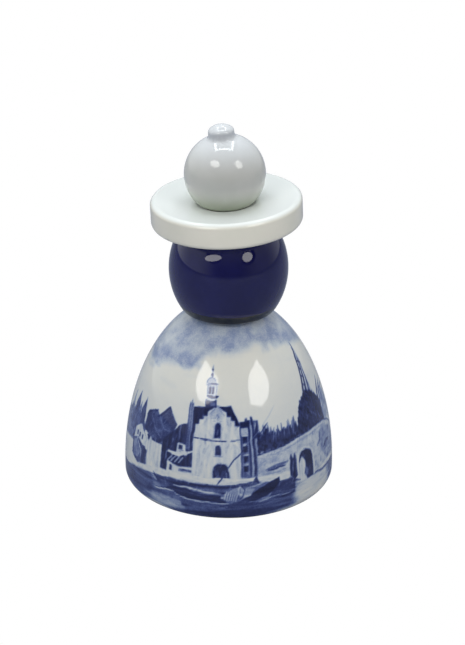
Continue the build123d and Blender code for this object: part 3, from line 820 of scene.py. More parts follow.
def paint_bridge():
    """A long pale wall that rises to a bridge with one round arch, and its reflection."""
    # the wall with its coping
    top = [(16.2, 29.6), (24, 30.2), (34, 31.4), (46, 32.6), (58, 33.0), (71, 32.4), (80, 29), (90, 24)]
    bottom = [(90, 12.8), (67, 14.2), (52, 13.2), (41, 16.8), (38, 19.2), (16.2, 20.0)]
    area(top + bottom, 0.24, texture="blots", depth=0.12)
    stroke(top, 0.5, 0.86, 0.9, taper=0.05)
    stroke([(a, h - 0.9) for a, h in top[:6]], 0.5, 0.12, 0.8, taper=0.05)
    stroke([(a, h - 1.9) for a, h in top[1:6]], 0.6, 0.42, 0.55, taper=0.1)
    # shaded stone at the far end
    area([(62, 29), (70, 30), (82, 26), (88, 20), (84, 14), (70, 14.4), (64, 20)], 0.46, 0.8,
         texture="blots", depth=0.2, soft=0.8)
    stroke([(60, 24), (62.6, 25.6), (63.4, 28.4)], 1.0, 0.58, 0.8)
    stroke([(66, 21), (71, 22.6), (76, 22.0)], 1.3, 0.76, 0.85)
    stroke([(64, 18.4), (70, 18.8), (78, 18.0)], 0.9, 0.24, 0.7)
    # the arch, and the light on the water under it
    ring = arched(40.4, 55.0, 12.6, 27.4)
    area(ring, 0.10, 0.9)
    area(arched(42.4, 53.4, 12.6, 26.2), 0.90, texture="mottle", depth=0.10)
    area([(42.4, 12.4), (42.6, 21.0), (44.6, 23.8), (47.0, 21.6), (47.2, 18.2), (45.8, 15.6),
          (48, 12.4)], 0.10, 0.95, soft=0.35, depth=0.1)
    area([(46.2, 14.2), (48.6, 14.0), (48.8, 17.0), (47.2, 18.6)], 0.5, 0.8)
    stroke([(42.6, 24.6), (47.2, 26.9), (52.6, 24.8), (54.2, 20.6)], 0.4, 0.5, 0.7)
    # mooring posts before the arch
    post = [(35.8, 17.0), (35.8, 25.2), (36.6, 26.8), (37.4, 25.0), (38.0, 24.2), (39.2, 26.8),
            (40.4, 24.8), (40.8, 16.0), (38.6, 14.8)]
    area(post, 0.84, depth=0.16)
    stroke([(38.0, 18.0), (38.0, 24.0)], 0.42, 0.3, 0.7)
    stroke([(34.8, 16.8), (38.6, 14.4), (42.6, 13.6)], 0.9, 0.72, 0.8)
    # a low boat under the wall
    stroke([(20.6, 22.2), (28, 23.4), (34.2, 24.2)], 1.5, 0.62, 0.85, taper=0.4, texture="level")
    stroke([(21.4, 21.6), (28, 22.4), (34.0, 22.9)], 0.6, 0.9, 0.8, taper=0.3)
    stroke([(18.4, 20.4), (26, 20.6), (33, 20.8)], 0.6, 0.42, 0.6)
    # rough stones
    dabs([(17, 24.4), (17, 28.8), (34, 30.4), (34, 25)], 26, 1.8, 70, 0.6, 0.18, 0.5, 0.5)
    dabs([(54.6, 15), (54.6, 31), (62, 31.6), (62, 15)], 18, 2.2, 10, 0.8, 0.2, 0.5, 0.5)


def paint_harbour():
    """Long dark boats with a hut and a leaning mast, at the front."""
    area([(-68, 12.6), (-54, 14.8), (-48.6, 15.4), (-45, 11.6), (-47, 7.0), (-56, 4.4), (-68, 5)],
         0.76, 0.75, soft=0.9, texture="level", depth=0.16)
    # boats moored along the quay
    moored = [(-44, 15.0), (-33.5, 17.2), (-25.0, 17.0), (-19.7, 16.4), (-13.4, 16.3), (-7.3, 17.0),
              (4.8, 17.4), (10.9, 18.0), (15.6, 18.6), (16.4, 16.6), (4.8, 15.9), (-7.3, 15.2),
              (-16.5, 14.8), (-23.6, 14.6), (-30.4, 14.2), (-42, 13.2)]
    area(moored, 0.74, texture="level", depth=0.16)
    dabs(moored, 26, 3.0, 84, 0.4, 0.55, 1.0, 0.6)
    stroke([(13.6, 18.2), (15.4, 19.6), (16.4, 17.0)], 0.9, 0.9, 0.9, taper=0.2)
    # the long near boat and the dark water under it
    hull = [(-43.5, 10.4), (-36.0, 12.0), (-31.0, 13.4), (-23.5, 13.7), (-15.8, 13.0), (-8.0, 12.4),
            (-2.0, 12.2), (-1.0, 8.8), (-12.0, 9.0), (-19.6, 9.2), (-26.9, 9.8), (-31.1, 11.0),
            (-36.2, 10.9)]
    area(hull, 0.86, texture="level", depth=0.10)
    below = [(-27.5, 9.4), (-12.0, 8.6), (4.8, 8.4), (17.0, 8.4), (36.0, 8.4), (36.4, 5.4), (17.0, 5.8),
             (-1.2, 5.2), (-13.3, 4.6), (-22.2, 4.0), (-26.0, 5.6)]
    area(below, 0.72, 0.9, soft=0.7, texture="level", depth=0.14)
    stroke([(-31.0, 14.1), (-23.6, 14.4), (-17.1, 13.9), (-10.9, 13.3), (-3.6, 13.4)], 0.8, 0.14, 0.9)
    stroke([(-22.0, 13.4), (-15.0, 12.6), (-8.0, 12.4)], 0.4, 0.5, 0.8)
    stroke([(-30.6, 12.2), (-23.5, 12.2), (-14.0, 11.4), (-4.0, 11.2)], 0.4, 0.58, 0.7)
    stroke([(-44.4, 9.8), (-36.2, 11.0), (-31.1, 11.2)], 0.62, 0.08, 0.95, taper=0.25)
    stroke([(-32.0, 11.6), (-29.4, 10.2), (-25.6, 9.3), (-18.0, 8.9), (-8.0, 8.6), (4.8, 8.7)],
           0.56, 0.18, 0.9, taper=0.3)
    # the boat behind it, whose bow rises to the right
    far_hull = [(6.4, 9.4), (12.0, 12.4), (17.1, 14.6), (22.3, 16.7), (28.6, 18.4), (29.2, 16.0),
                (25.5, 13.2), (20.8, 10.6), (14.0, 9.2)]
    water = [(24.0, 12.6), (29.4, 16.4), (38.6, 16.0), (38.6, 9.0), (34.0, 8.0), (22.0, 9.0)]
    area(water, 0.76, texture="level", depth=0.14)
    dabs(water, 16, 3.0, 84, 0.45, 0.5, 0.95, 0.6)
    area(far_hull, 0.93, texture="level", depth=0.08)
    area([(8.6, 15.0), (14.2, 14.8), (12.2, 11.8), (7.4, 10.4)], 0.30, texture="level", depth=0.14)
    stroke([(9.6, 15.4), (14.6, 16.1), (21.0, 17.6), (26.0, 18.6)], 0.5, 0.2, 0.85)
    stroke([(13.4, 13.6), (18.0, 15.4), (23.0, 17.0)], 0.36, 0.5, 0.7)
    stroke([(16.4, 8.5), (23.4, 9.8), (30.2, 9.6), (36.6, 9.2)], 0.62, 0.26, 0.85)
    stroke([(20.0, 7.4), (28.0, 7.8), (35.0, 7.2)], 0.5, 0.5, 0.7)
    # the covered cabin between them
    hut = [(-3.4, 11.2), (-1.8, 13.3), (2.4, 15.2), (6.0, 16.2), (8.4, 14.4), (7.4, 11.6), (4.4, 9.2),
           (-1.2, 9.8)]
    area(hut, 0.40, texture="blots", depth=0.14)
    for share in np.linspace(0.08, 0.92, 6):
        foot = (-2.6 + 6.8 * share, 10.2 - 0.9 * share)
        stroke([foot, (foot[0] + 1.3, foot[1] + 4.4 - share)], 0.44, 0.12, 0.75, taper=0.3)
        stroke([(foot[0] + 0.7, foot[1]), (foot[0] + 2.0, foot[1] + 4.0 - share)], 0.3, 0.86, 0.8)
    area([(4.8, 15.4), (6.0, 16.3), (8.2, 14.4), (7.4, 12.0), (5.8, 12.2)], 0.14, 0.9)
    stroke([(6.0, 15.6), (6.4, 13.0)], 0.5, 0.7, 0.9, taper=0.1)
    stroke([(7.3, 14.8), (7.1, 12.8)], 0.4, 0.5, 0.9, taper=0.1)
    stroke([(5.8, 16.6), (8.6, 14.6), (7.6, 11.6), (5.0, 9.4)], 0.36, 0.85, 0.85)
    stroke([(-3.4, 10.8), (-3.6, 12.0)], 0.9, 0.12, 0.8)
    # a ripple, the leaning mast and its yard, and two oars
    stroke([(-6.0, 6.9), (-3.6, 6.5), (-0.6, 7.0)], 0.5, 0.4, 0.8)
    mast = [(-6.2, 17.2), (1.9, 26.9), (11.1, 34.6)]
    stroke(mast, 0.52, 0.84, 0.95, taper=0.12)
    stroke([(11.1, 34.6), (20.3, 41.2), (30.5, 48.2)], 0.42, 0.32, 0.6, taper=0.3)
    stroke([(-49.4, 15.8), (-45.4, 15.0), (-42.7, 13.4)], 0.6, 0.24, 0.8)
    stroke([(-45.6, 16.6), (-41.6, 14.0)], 0.6, 0.9, 0.8)


def paint_back():
    """A row of canal houses with a windmill and a drawbridge, round the back of the dome."""
    sizes = ((10, 33, 40, "bell"), (12, 29, 35, "plain"), (9, 35, 41, "neck"), (11, 31, 38, "stepped"))
    # trees at both ends of the row
    foliage([(91, 14), (91, 27), (100, 30), (112, 28), (118, 30), (118, 14)], 0.6, 60)
    foliage([(215, 13), (215, 29), (226, 31), (240, 28), (262, 31), (276, 30), (276, 13)], 0.5, 80)
    # the row of houses
    left = 118.0
    for number in range(9):
        width, eaves, ridge, gable = sizes[(number * 3 + number // 4) % 4]
        wall = (0.14, 0.5, 0.22, 0.62, 0.16)[number % 5]
        shift = rng.uniform(-1.2, 1.2)
        base = float(quay_high((left + 180) % 360 - 180)) - 0.4
        house(left, left + width, base, eaves + shift, ridge + shift, wall, gable,
              (2 if width < 11 else 3, 3))
        left += width + 0.3
    for azimuth, top in ((97, 31), (108, 29.5), (222, 30), (232, 33)):
        tree(azimuth, 12.6, top - 12, top, 5.5)
    paint_windmill(246, 13)
    paint_drawbridge(268, 13)
    for azimuth in (104, 128, 152, 176, 200, 226, 252):
        base = float(quay_low((azimuth + 180) % 360 - 180))
        stroke([(azimuth, base - 0.6), (azimuth + 0.6, base - 5.5)], 2.6, 0.72, 0.4, soft=0.8)
    # a sailing boat and a rowing boat
    boat(126, 152, 6.6, 4.2, 1.1, 0.86)
    stroke([(139, 7), (139.4, 19.4)], 0.42, 0.85, 0.9, taper=0.1)
    area([(139.8, 8.4), (140.2, 18.6), (148, 9.4)], 0.2, 0.9)
    stroke([(139.8, 8.4), (148, 9.4), (140.2, 18.6)], 0.3, 0.66, 0.8)
    boat(196, 214, 4.8, 3.0, 0.9, 0.8)


def paint_windmill(azimuth, base):
    """A tower mill on a low mound, four lattice sails and a gallery."""
    mill = [(azimuth - 5.2, base), (azimuth - 2.7, base + 22), (azimuth + 2.7, base + 22),
            (azimuth + 5.2, base)]
    area(mill, 0.5, depth=0.14)
    area([(azimuth - 3.4, base + 21.6), (azimuth - 2.4, base + 25), (azimuth, base + 26.2),
          (azimuth + 2.6, base + 25), (azimuth + 3.4, base + 21.6)], 0.86)
    stroke([(azimuth - 7, base + 9.6), (azimuth + 7, base + 9.6)], 0.6, 0.84, 0.9, taper=0.1)
    windows(azimuth - 2.4, azimuth + 2.4, base + 11, base + 20, 1, 2, share=0.34)
    area(arched(azimuth - 1.4, azimuth + 1.4, base, base + 4.2), 0.84)
    hub = (azimuth, base + 23.4)
    across = degree_width(hub[1])
    for angle in (38, 128, 218, 308):
        cos, sin = math.cos(math.radians(angle)), math.sin(math.radians(angle))
        stroke([hub, (hub[0] + 15 * cos / across, hub[1] + 15 * sin)], 0.5, 0.86, 0.9, taper=0.05)
        for edge in (0.9, 1.8):
            path = [(hub[0] + (r * cos - edge * sin) / across, hub[1] + r * sin + edge * cos)
                    for r in (3, 14.6)]
            stroke(path, 0.28, 0.6, 0.8, taper=0.05)
        for r in np.arange(3, 15, 1.6):
            rung = [(hub[0] + (r * cos - side * sin) / across, hub[1] + r * sin + side * cos)
                    for side in (0, 1.8)]
            stroke(rung, 0.26, 0.6, 0.8, taper=0.05)


def paint_drawbridge(azimuth, base):
    """A white drawbridge: two posts, a balance beam and its chains."""
    for side in (-3.2, 3.2):
        stroke([(azimuth + side, base - 1), (azimuth + side * 0.85, base + 15)], 0.9, 0.08, 0.95,
               taper=0.05)
        stroke([(azimuth + side + 0.6, base - 1), (azimuth + side * 0.85 + 0.6, base + 15)], 0.3, 0.7,
               0.8, taper=0.05)
    stroke([(azimuth - 3.4, base + 14.4), (azimuth + 3.4, base + 14.4)], 0.7, 0.7, 0.9, taper=0.05)
    stroke([(azimuth - 12, base + 17.5), (azimuth + 12, base + 13.0)], 0.8, 0.78, 0.9, taper=0.1)
    stroke([(azimuth - 11.4, base + 17.2), (azimuth - 11.0, base + 1.2)], 0.28, 0.6, 0.8, taper=0.05)
    stroke([(azimuth - 13, base + 0.6), (azimuth, base + 1.2), (azimuth + 11, base + 0.4)], 0.9, 0.74,
           0.9, taper=0.05)


def paint_touches():
    """Small touches over the whole town, that break up its flat washes."""
    town = [(-88, 13), (-88, 36), (-60, 34), (-30, 38), (-20, 46), (2, 46), (8, 40), (40, 37), (60, 44),
            (88, 38), (88, 13)]
    dabs(town, 200, 2.2, 4, 0.5, 0.45, 0.95, 0.16)
    dabs(town, 240, 2.0, 8, 0.42, 0.0, 0.3, 0.36)


def paint_all():
    """The whole painting, from the far sky to the near boats."""
    paint_sky()
    paint_clouds()
    paint_water()
    paint_ripples()
    paint_back()
    paint_left_town()
    paint_church()
    paint_centre_right()
    paint_gatehouse()
    paint_quay()
    paint_bridge()
    paint_harbour()
    paint_touches()


def ink_at(heights):
    """Tone of the painting at the vertices: rows at some heights, COLUMNS cells each."""
    smooth = tone / 2 + np.roll(tone, 1, axis=1) / 4 + np.roll(tone, -1, axis=1) / 4
    smooth = smooth[:, ::2]
    place = np.clip(np.asarray(heights) / CELL_HEIGHT, 0, CANVAS_ROWS - 2)
    row = place.astype(int)
    share = (place - row)[:, None]
    return smooth[row] * (1 - share) + smooth[row + 1] * share


# ---- turned pieces -------------------------------------------------------------------

FINE_ROW = 0.5
FINE_TOP = 64.0
COARSE_ROWS = 12
INSIDE_COLUMNS = COLUMNS // 5
PIECE_COLUMNS = 192
SMALL_COLUMNS = 96


def make_body():
    """The painted dome with its white inside and its bare foot ring."""
    lip = arc((FOOT_OUTER, DOME_RADIUS - FOOT_OUTER), DOME_RADIUS - FOOT_OUTER, 270, 360, 12)
    fine = [(float(dome_radius(h)), h) for h in np.arange(WAIST_HEIGHT - 1.5, FINE_TOP, FINE_ROW)]
    start = math.asin((fine[-1][1] - WAIST_HEIGHT) / DOME_RISE)
    end = math.acos(SEAT_RADIUS / DOME_RADIUS)
    coarse = [(DOME_RADIUS * math.cos(a), WAIST_HEIGHT + DOME_RISE * math.sin(a))
              for a in np.linspace(start, end, COARSE_ROWS)]
    outside = drop_repeats(lip + fine + coarse)
    under = SEAT_HEIGHT - CROWN_THICKNESS
    seat = [(CROWN_BORE, SEAT_HEIGHT), (CROWN_BORE, under)]
    inner_radius, inner_rise = DOME_RADIUS - DOME_WALL, DOME_RISE - CROWN_THICKNESS
    high = math.asin((under - WAIST_HEIGHT) / inner_rise)
    low = math.asin((BOW_HEIGHT - WAIST_HEIGHT) / inner_rise)
    inside = [(inner_radius * math.cos(a), WAIST_HEIGHT + inner_rise * math.sin(a))
              for a in np.linspace(high, low, 34)]
    lean = (inner_radius * math.sin(low), -inner_rise * math.cos(low))
    reach = BOW_PULL / math.hypot(*lean)
    bow = hermite(inside[-1], (FOOT_INNER - LIP_ROUND, LIP_ROUND), (lean[0] * reach, lean[1] * reach),
                  (0, -BOW_PULL), 12)
    inner_lip = arc((FOOT_INNER, LIP_ROUND), LIP_ROUND, 180, 270, 6)
    lining = drop_repeats(seat + inside + bow + inner_lip)
    body = turned("painted_dome", [(outside, COLUMNS, 0), (lining, INSIDE_COLUMNS, 1)])
    # the last faces close the ring between the lining and the outside, on which the bell stands
    for polygon in body.data.polygons[-INSIDE_COLUMNS:]:
        polygon.material_index = 2
    ink = np.zeros(len(body.data.vertices))
    painted = ink_at([h for _, h in outside]).ravel()
    ink[: painted.size] = painted
    layer = body.data.attributes.new("ink", "FLOAT", "POINT")
    layer.data.foreach_set("value", ink)
    return body


def filleted_ellipse(radius, rise, middle, low, high, low_edge, high_edge, count):
    """Upright ellipse cut flat at two heights, with a rounding of its own at each cut."""

    def rounding(edge, height, side):
        """Centre of the arc that touches the cut and the ellipse, and the ellipse's angle there."""
        level = height - side * edge
        inner, outer = 0.0, side * math.pi / 2
        for _ in range(40):
            angle = (inner + outer) / 2
            across, up = math.cos(angle) / radius, math.sin(angle) / rise
            length = math.hypot(across, up)
            reached = middle + rise * math.sin(angle) - edge * up / length
            if (reached - level) * side < 0:
                inner = angle
            else:
                outer = angle
        centre = (radius * math.cos(angle) - edge * across / length, level)
        return centre, angle, math.degrees(math.atan2(up, across))

    low_centre, low_angle, low_slope = rounding(low_edge, low, -1)
    high_centre, high_angle, high_slope = rounding(high_edge, high, 1)
    return (
        arc(low_centre, low_edge, -90, low_slope, 9)
        + [(radius * math.cos(a), middle + rise * math.sin(a))
           for a in np.linspace(low_angle, high_angle, count)]
        + arc(high_centre, high_edge, high_slope, 90, 6)
    )


def make_head():
    """The dark hollow head, a barrel cut flat at both ends."""
    middle = HEAD_FLOOR + HEAD_WIDEST
    hollow_low, hollow_high = HEAD_FLOOR + HEAD_WALL, HEAD_TOP - HEAD_WALL
    radius, rise = HEAD_RADIUS - HEAD_WALL, HEAD_RISE - HEAD_WALL
    inside = [(radius * math.cos(a), middle + rise * math.sin(a))
              for a in np.linspace(math.asin((hollow_high - middle) / rise),
                                   math.asin((hollow_low - middle) / rise), 24)]
    outline = [(HEAD_BORE, HEAD_FLOOR)]
    outline += filleted_ellipse(HEAD_RADIUS, HEAD_RISE, middle, HEAD_FLOOR, HEAD_TOP, HEAD_EDGE,
                                HEAD_TOP_EDGE, 52)
    outline += [(HEAD_BORE, HEAD_TOP), (HEAD_BORE, hollow_high)]
    outline += inside + [(HEAD_BORE, hollow_low)]
    return turned("cobalt_head", [(drop_repeats(outline), PIECE_COLUMNS, 0)])


def make_disc():
    """The thick white disc, dished on top."""
    flat = DISC_RADIUS - DISC_EDGE
    floor = DISC_THICKNESS - DISC_DISH
    dish = (flat**2 + DISC_DISH**2) / (2 * DISC_DISH)
    outline = [(DISC_BORE, 0)]
    outline += line((flat * 0.5, 0), (flat, 0), 6)
    outline += arc((flat, DISC_EDGE), DISC_EDGE, -90, 0, 10)
    outline += arc((flat, DISC_THICKNESS - DISC_EDGE), DISC_EDGE, 0, 90, 12)
    outline += [(r, floor + dish - math.sqrt(dish**2 - r * r))
                for r in np.linspace(flat - 0.6, DISC_SEAT_RADIUS, 16)]
    outline += [(DISC_SEAT_RADIUS, DISC_SEAT), (DISC_BORE, DISC_SEAT)]
    return turned("white_disc", [(drop_repeats(outline), PIECE_COLUMNS, 0)], DISC_FRAME)


def make_ball():
    """The pale hollow ball; towards the top it turns over to the knob's own axis."""
    hollow = BALL_RADIUS - BALL_WALL
    depth = BALL_CENTRE - BALL_FLOOR
    edge = (math.sqrt((BALL_RADIUS - BALL_EDGE) ** 2 - (depth - BALL_EDGE) ** 2), BALL_FLOOR + BALL_EDGE)
    low_angle = math.degrees(math.atan2(edge[1] - BALL_CENTRE, edge[0]))
    hole_angle = math.degrees(math.acos(CASTING_HOLE / BALL_RADIUS))
    inner_hole = math.degrees(math.acos(CASTING_HOLE / hollow))
    inner_floor = math.degrees(math.asin((BALL_INSIDE_FLOOR - BALL_CENTRE) / hollow))
    outline = [(BALL_BORE, BALL_FLOOR)]
    outline += arc(edge, BALL_EDGE, -90, low_angle, 5)
    outline += arc((0, BALL_CENTRE), BALL_RADIUS, low_angle, hole_angle, 56)
    outline += arc((0, BALL_CENTRE), hollow, inner_hole, inner_floor, 28)
    outline += [(BALL_BORE, BALL_INSIDE_FLOOR)]

    def lean_over(points):
        """Turns the upper part of the ball by the knob's lean, and blends that out below."""
        x, y, z = points[:, 0], points[:, 1], points[:, 2] - BALL_CENTRE
        lift = np.degrees(np.arctan2(z, np.hypot(x, y)))
        angle = -KNOB_LEAN * smoothstep(10, 60, lift)
        turned_x = x * np.cos(angle) + z * np.sin(angle)
        turned_z = -x * np.sin(angle) + z * np.cos(angle)
        return np.column_stack([turned_x, y, turned_z + BALL_CENTRE])

    return turned("pale_ball", [(drop_repeats(outline), PIECE_COLUMNS, 0)], DISC_FRAME, lean_over)


def make_knob():
    """The small knob: shank, a flare that meets the ball, a rounded side and a domed top."""
    top = BALL_RADIUS + KNOB_PROUD
    outward = math.asin(KNOB_EDGE_START / KNOB_DOME)
    edge = ((KNOB_DOME - KNOB_EDGE) * math.sin(outward),
            top - KNOB_DOME + (KNOB_DOME - KNOB_EDGE) * math.cos(outward))
    edge_angle = 90 - math.degrees(outward)
    skirt_height = math.sqrt(BALL_RADIUS**2 - KNOB_SKIRT**2)
    skirt = (KNOB_SKIRT, skirt_height + KNOB_SHOWN_LIP)
    skirt_angle = math.degrees(math.atan2(skirt_height, KNOB_SKIRT))
    pull = KNOB_FLARE_PULL / BALL_RADIUS
    shank_angle = math.degrees(math.acos(SHANK_RADIUS / BALL_RADIUS))
    outline = [(0, BALL_RADIUS - SHANK_LENGTH), (SHANK_RADIUS, BALL_RADIUS - SHANK_LENGTH)]
    outline += arc((0, 0), BALL_RADIUS, shank_angle, skirt_angle, 5)
    outline += hermite(skirt, (edge[0] + KNOB_EDGE, edge[1]),
                       (-skirt_height * pull, KNOB_SKIRT * pull), (0, KNOB_SIDE_PULL), 18)
    outline += arc(edge, KNOB_EDGE, 0, edge_angle, 10)
    outline += arc((0, top - KNOB_DOME), KNOB_DOME, edge_angle, 90, 12)
    return turned("pale_knob", [(drop_repeats(outline), SMALL_COLUMNS, 0)], KNOB_FRAME)


def make_clapper():
    """The turned wooden ball, with two fine grooves round its middle."""
    flat = wood_low.z
    low_angle = math.degrees(math.asin((flat - WOOD_CENTRE) / WOOD_RADIUS))
    outline = [(WOOD_BORE, flat)]
    for a in np.radians(np.arange(low_angle, 85.5, 1.5)):
        groove = sum(GROOVE_DEPTH * math.exp(-((math.degrees(a) - at) / GROOVE_REACH) ** 2)
                     for at in GROOVE_ANGLES)
        radius = WOOD_RADIUS - groove
        outline.append((radius * math.cos(a), WOOD_CENTRE + radius * math.sin(a)))
    outline += [(WOOD_BORE, wood_high.z - 0.05)]
    return turned("turned_clapper", [(drop_repeats(outline), SMALL_COLUMNS, 0)])


# ---- materials -----------------------------------------------------------------------


def colour(red, green, blue):
    """Linear colour from display values of 0 to 255."""
    def linear(value):
        v = value / 255
        return v / 12.92 if v <= 0.04045 else ((v + 0.055) / 1.055) ** 2.4
    return (linear(red), linear(green), linear(blue), 1.0)


# the brushwork from bare glaze to the darkest cobalt
INK_RAMP = (
    (0.00, colour(212, 211, 203)),
    (0.16, colour(183, 190, 197)),
    (0.34, colour(130, 144, 174)),
    (0.55, colour(76, 90, 138)),
    (0.75, colour(44, 53, 99)),
    (1.00, colour(19, 23, 52)),
)
GLAZE_IOR = 1.5


class Nodes:
    """Short ways to build the node tree of a material or a world."""

    def __init__(self, owner):
        owner.use_nodes = True
        self.tree = owner.node_tree

    def add(self, kind, *inputs, **settings):
        """A new node, whose first sockets take the given links or values."""
        node = self.tree.nodes.new(kind)
        for key, value in settings.items():
            setattr(node, key, value)
        for socket, value in zip(node.inputs, inputs):
            self.feed(socket, value)
        return node

    def feed(self, socket, value):
        """Links a socket, or sets a plain value."""
        if isinstance(value, bpy.types.NodeSocket):
            self.tree.links.new(value, socket)
        else:
            socket.default_value = value

    def math(self, operation, *values):
        """A sum, a difference, a product or the like."""
        return self.add("ShaderNodeMath", *values, operation=operation).outputs[0]

    def spread(self, value, low, high, to_low=0.0, to_high=1.0):
        """Maps a range of a value softly onto another."""
        node = self.add("ShaderNodeMapRange", value, low, high, to_low, to_high,
                        interpolation_type="SMOOTHSTEP")
        return node.outputs["Result"]

    def component(self, vector, axis):
        return self.add("ShaderNodeSeparateXYZ", vector).outputs[axis]

    def mix_shaders(self, share, first, second):
        return self.add("ShaderNodeMixShader", share, first, second).outputs[0]

    def is_camera_ray(self):
        return self.add("ShaderNodeLightPath").outputs["Is Camera Ray"]


class Surface(Nodes):
    """A material built around one Principled surface."""

    def __init__(self, name):
        self.material = bpy.data.materials.new(name)
        super().__init__(self.material)
        self.surface = self.tree.nodes["Principled BSDF"]
        self.coordinates = self.add("ShaderNodeTexCoord").outputs

    def noise(self, size, detail=2.0, stretch=(1, 1, 1)):
        """Noise with features of about `size` millimetres, from 0 to 1."""
        mapping = self.add("ShaderNodeMapping", self.coordinates["Object"])
        mapping.inputs["Scale"].default_value = [1 / (size * MM * s) for s in stretch]
        noise = self.add("ShaderNodeTexNoise", mapping.outputs["Vector"])
        noise.inputs["Scale"].default_value = 1.0
        noise.inputs["Detail"].default_value = detail
        return noise.outputs["Fac"]

    def mix(self, share, first, second):
        """A colour between two others."""
        node = self.add("ShaderNodeMix", share, data_type="RGBA")
        self.feed(node.inputs[6], first)
        self.feed(node.inputs[7], second)
        return node.outputs[2]

    def height(self, low, high):
        """How far up the piece a point is, from 0 at one height to 1 at another, in millimetres."""
        return self.spread(self.component(self.coordinates["Object"], "Z"), low * MM, high * MM)

    def facing_up(self):
        """0 on upright and downward surfaces, 1 on level tops."""
        return self.spread(self.component(self.coordinates["Normal"], "Z"), 0.2, 0.95)

    def ramp(self, share, stops):
        """A colour from a row of (place, colour) stops."""
        node = self.add("ShaderNodeValToRGB", share)
        elements = node.color_ramp.elements
        while len(elements) < len(stops):
            elements.new(0.5)
        for element, (place, shade) in zip(elements, stops):
            element.position = place
            element.color = shade
        return node.outputs["Color"]

    def bump(self, height, depth):
        """Bump of a given depth in millimetres."""
        node = self.add("ShaderNodeBump")
        node.inputs["Strength"].default_value = 1.0
        node.inputs["Distance"].default_value = depth * MM
        self.feed(node.inputs["Height"], height)
        self.feed(self.surface.inputs["Normal"], node.outputs["Normal"])

    def set(self, **values):
        """Feeds the Principled surface's own inputs."""
        for key, value in values.items():
            self.feed(self.surface.inputs[key.replace("_", " ")], value)


def glaze(name, shade, pooled, top=None, crest=None, foot=None):
    """Glossy glaze that varies a little in depth, with a faintly rippled surface.

    `top` is its colour on level tops, painted lighter for the light that falls from above.  `crest` and
    `foot` are (colour, low, high): a painted highlight that grows towards the upper height, and painted
    shade that grows towards the lower one.
    """
    nodes = Surface(name)
    depth = nodes.spread(nodes.noise(13, 3), 0.35, 0.68, 0, 0.5)
    base = nodes.mix(depth, shade, pooled)
    # painted light and shade: a lighter colour on level tops for the light from above, a painted
    # highlight towards the upper height, painted shade towards the lower one
    if top:
        base = nodes.mix(nodes.facing_up(), base, top)
    if crest:
        base = nodes.mix(nodes.height(crest[1], crest[2]), base, crest[0])
    if foot:
        base = nodes.mix(nodes.height(foot[1], foot[2]), foot[0], base)
    specks = nodes.spread(nodes.noise(0.9, 1), 0.70, 0.78, 0, 0.35)
    nodes.set(Base_Color=nodes.mix(specks, base, pooled), IOR=GLAZE_IOR)
    nodes.set(Roughness=nodes.spread(nodes.noise(4, 2), 0.3, 0.7, 0.04, 0.065))
    nodes.bump(nodes.noise(6.5, 1), 0.02)
    return nodes.material


def painted_glaze():
    """Cobalt brushwork under a clear glaze: the ink attribute sets how dark it is."""
    nodes = Surface("painted_porcelain")
    ink = nodes.add("ShaderNodeAttribute", attribute_name="ink").outputs["Fac"]
    grain = nodes.math("SUBTRACT", nodes.noise(0.55, 3), 0.5)
    wash = nodes.math("SUBTRACT", nodes.noise(1.9, 3), 0.5)
    # the grain shows most in the middle tones
    body = nodes.math("MULTIPLY", ink, nodes.math("SUBTRACT", 1.15, ink))
    change = nodes.math("MULTIPLY_ADD", wash, 0.5, nodes.math("MULTIPLY", grain, 0.8))
    uneven = nodes.math("MULTIPLY_ADD", change, body, ink)
    nodes.set(Base_Color=nodes.ramp(uneven, INK_RAMP), IOR=GLAZE_IOR)
    nodes.set(Roughness=nodes.spread(nodes.noise(4, 2), 0.3, 0.7, 0.055, 0.09))
    nodes.bump(nodes.noise(7, 1), 0.02)
    return nodes.material


def bare_porcelain():
    """The unglazed foot ring: matt, warm white and faintly gritty."""
    nodes = Surface("bare_porcelain")
    nodes.set(Base_Color=nodes.mix(nodes.noise(1.2, 4), colour(214, 208, 194), colour(188, 180, 164)))
    nodes.set(Roughness=0.75)
    nodes.bump(nodes.noise(0.25, 2), 0.02)
    return nodes.material


def soft_plastic(name, shade, darker, roughness, grain=0.3, sheer=0.0):
    """Rubber, silicone or nylon: cloudy colour and fine moulded grain."""
    nodes = Surface(name)
    nodes.set(Base_Color=nodes.mix(nodes.spread(nodes.noise(2.4, 3), 0.3, 0.7), shade, darker))
    nodes.set(Roughness=nodes.spread(nodes.noise(1.1, 2), 0.3, 0.7, roughness - 0.06, roughness + 0.08))
    if sheer:
        nodes.set(Subsurface_Weight=sheer, Subsurface_Scale=0.8 * MM)
    nodes.bump(nodes.noise(grain, 2), 0.012)
    return nodes.material


def turned_metal(name, shade, worn, roughness):
    """Metal with fine marks round the Z axis from turning or drawing."""
    nodes = Surface(name)
    marks = nodes.noise(0.5, 3, stretch=(14, 14, 0.3))
    patches = nodes.spread(nodes.noise(2.2, 3), 0.4, 0.65)
    nodes.set(Base_Color=nodes.mix(patches, shade, worn), Metallic=1.0)
    nodes.set(Roughness=nodes.spread(marks, 0.3, 0.7, roughness - 0.08, roughness + 0.12))
    nodes.bump(marks, 0.008)
    return nodes.material


def oiled_beech():
    """Beech with fine grain along Z and short dark flecks."""
    nodes = Surface("beech")
    rings = nodes.noise(2.6, 4, stretch=(1, 1, 9))
    flecks = nodes.spread(nodes.noise(0.5, 2, stretch=(1, 1, 4)), 0.58, 0.72, 0, 0.75)
    wood = nodes.mix(nodes.spread(rings, 0.35, 0.65), colour(214, 176, 128), colour(186, 140, 92))
    nodes.set(Base_Color=nodes.mix(flecks, wood, colour(140, 94, 56)), Roughness=0.46)
    nodes.bump(nodes.noise(0.3, 3, stretch=(1, 1, 8)), 0.02)
    return nodes.material


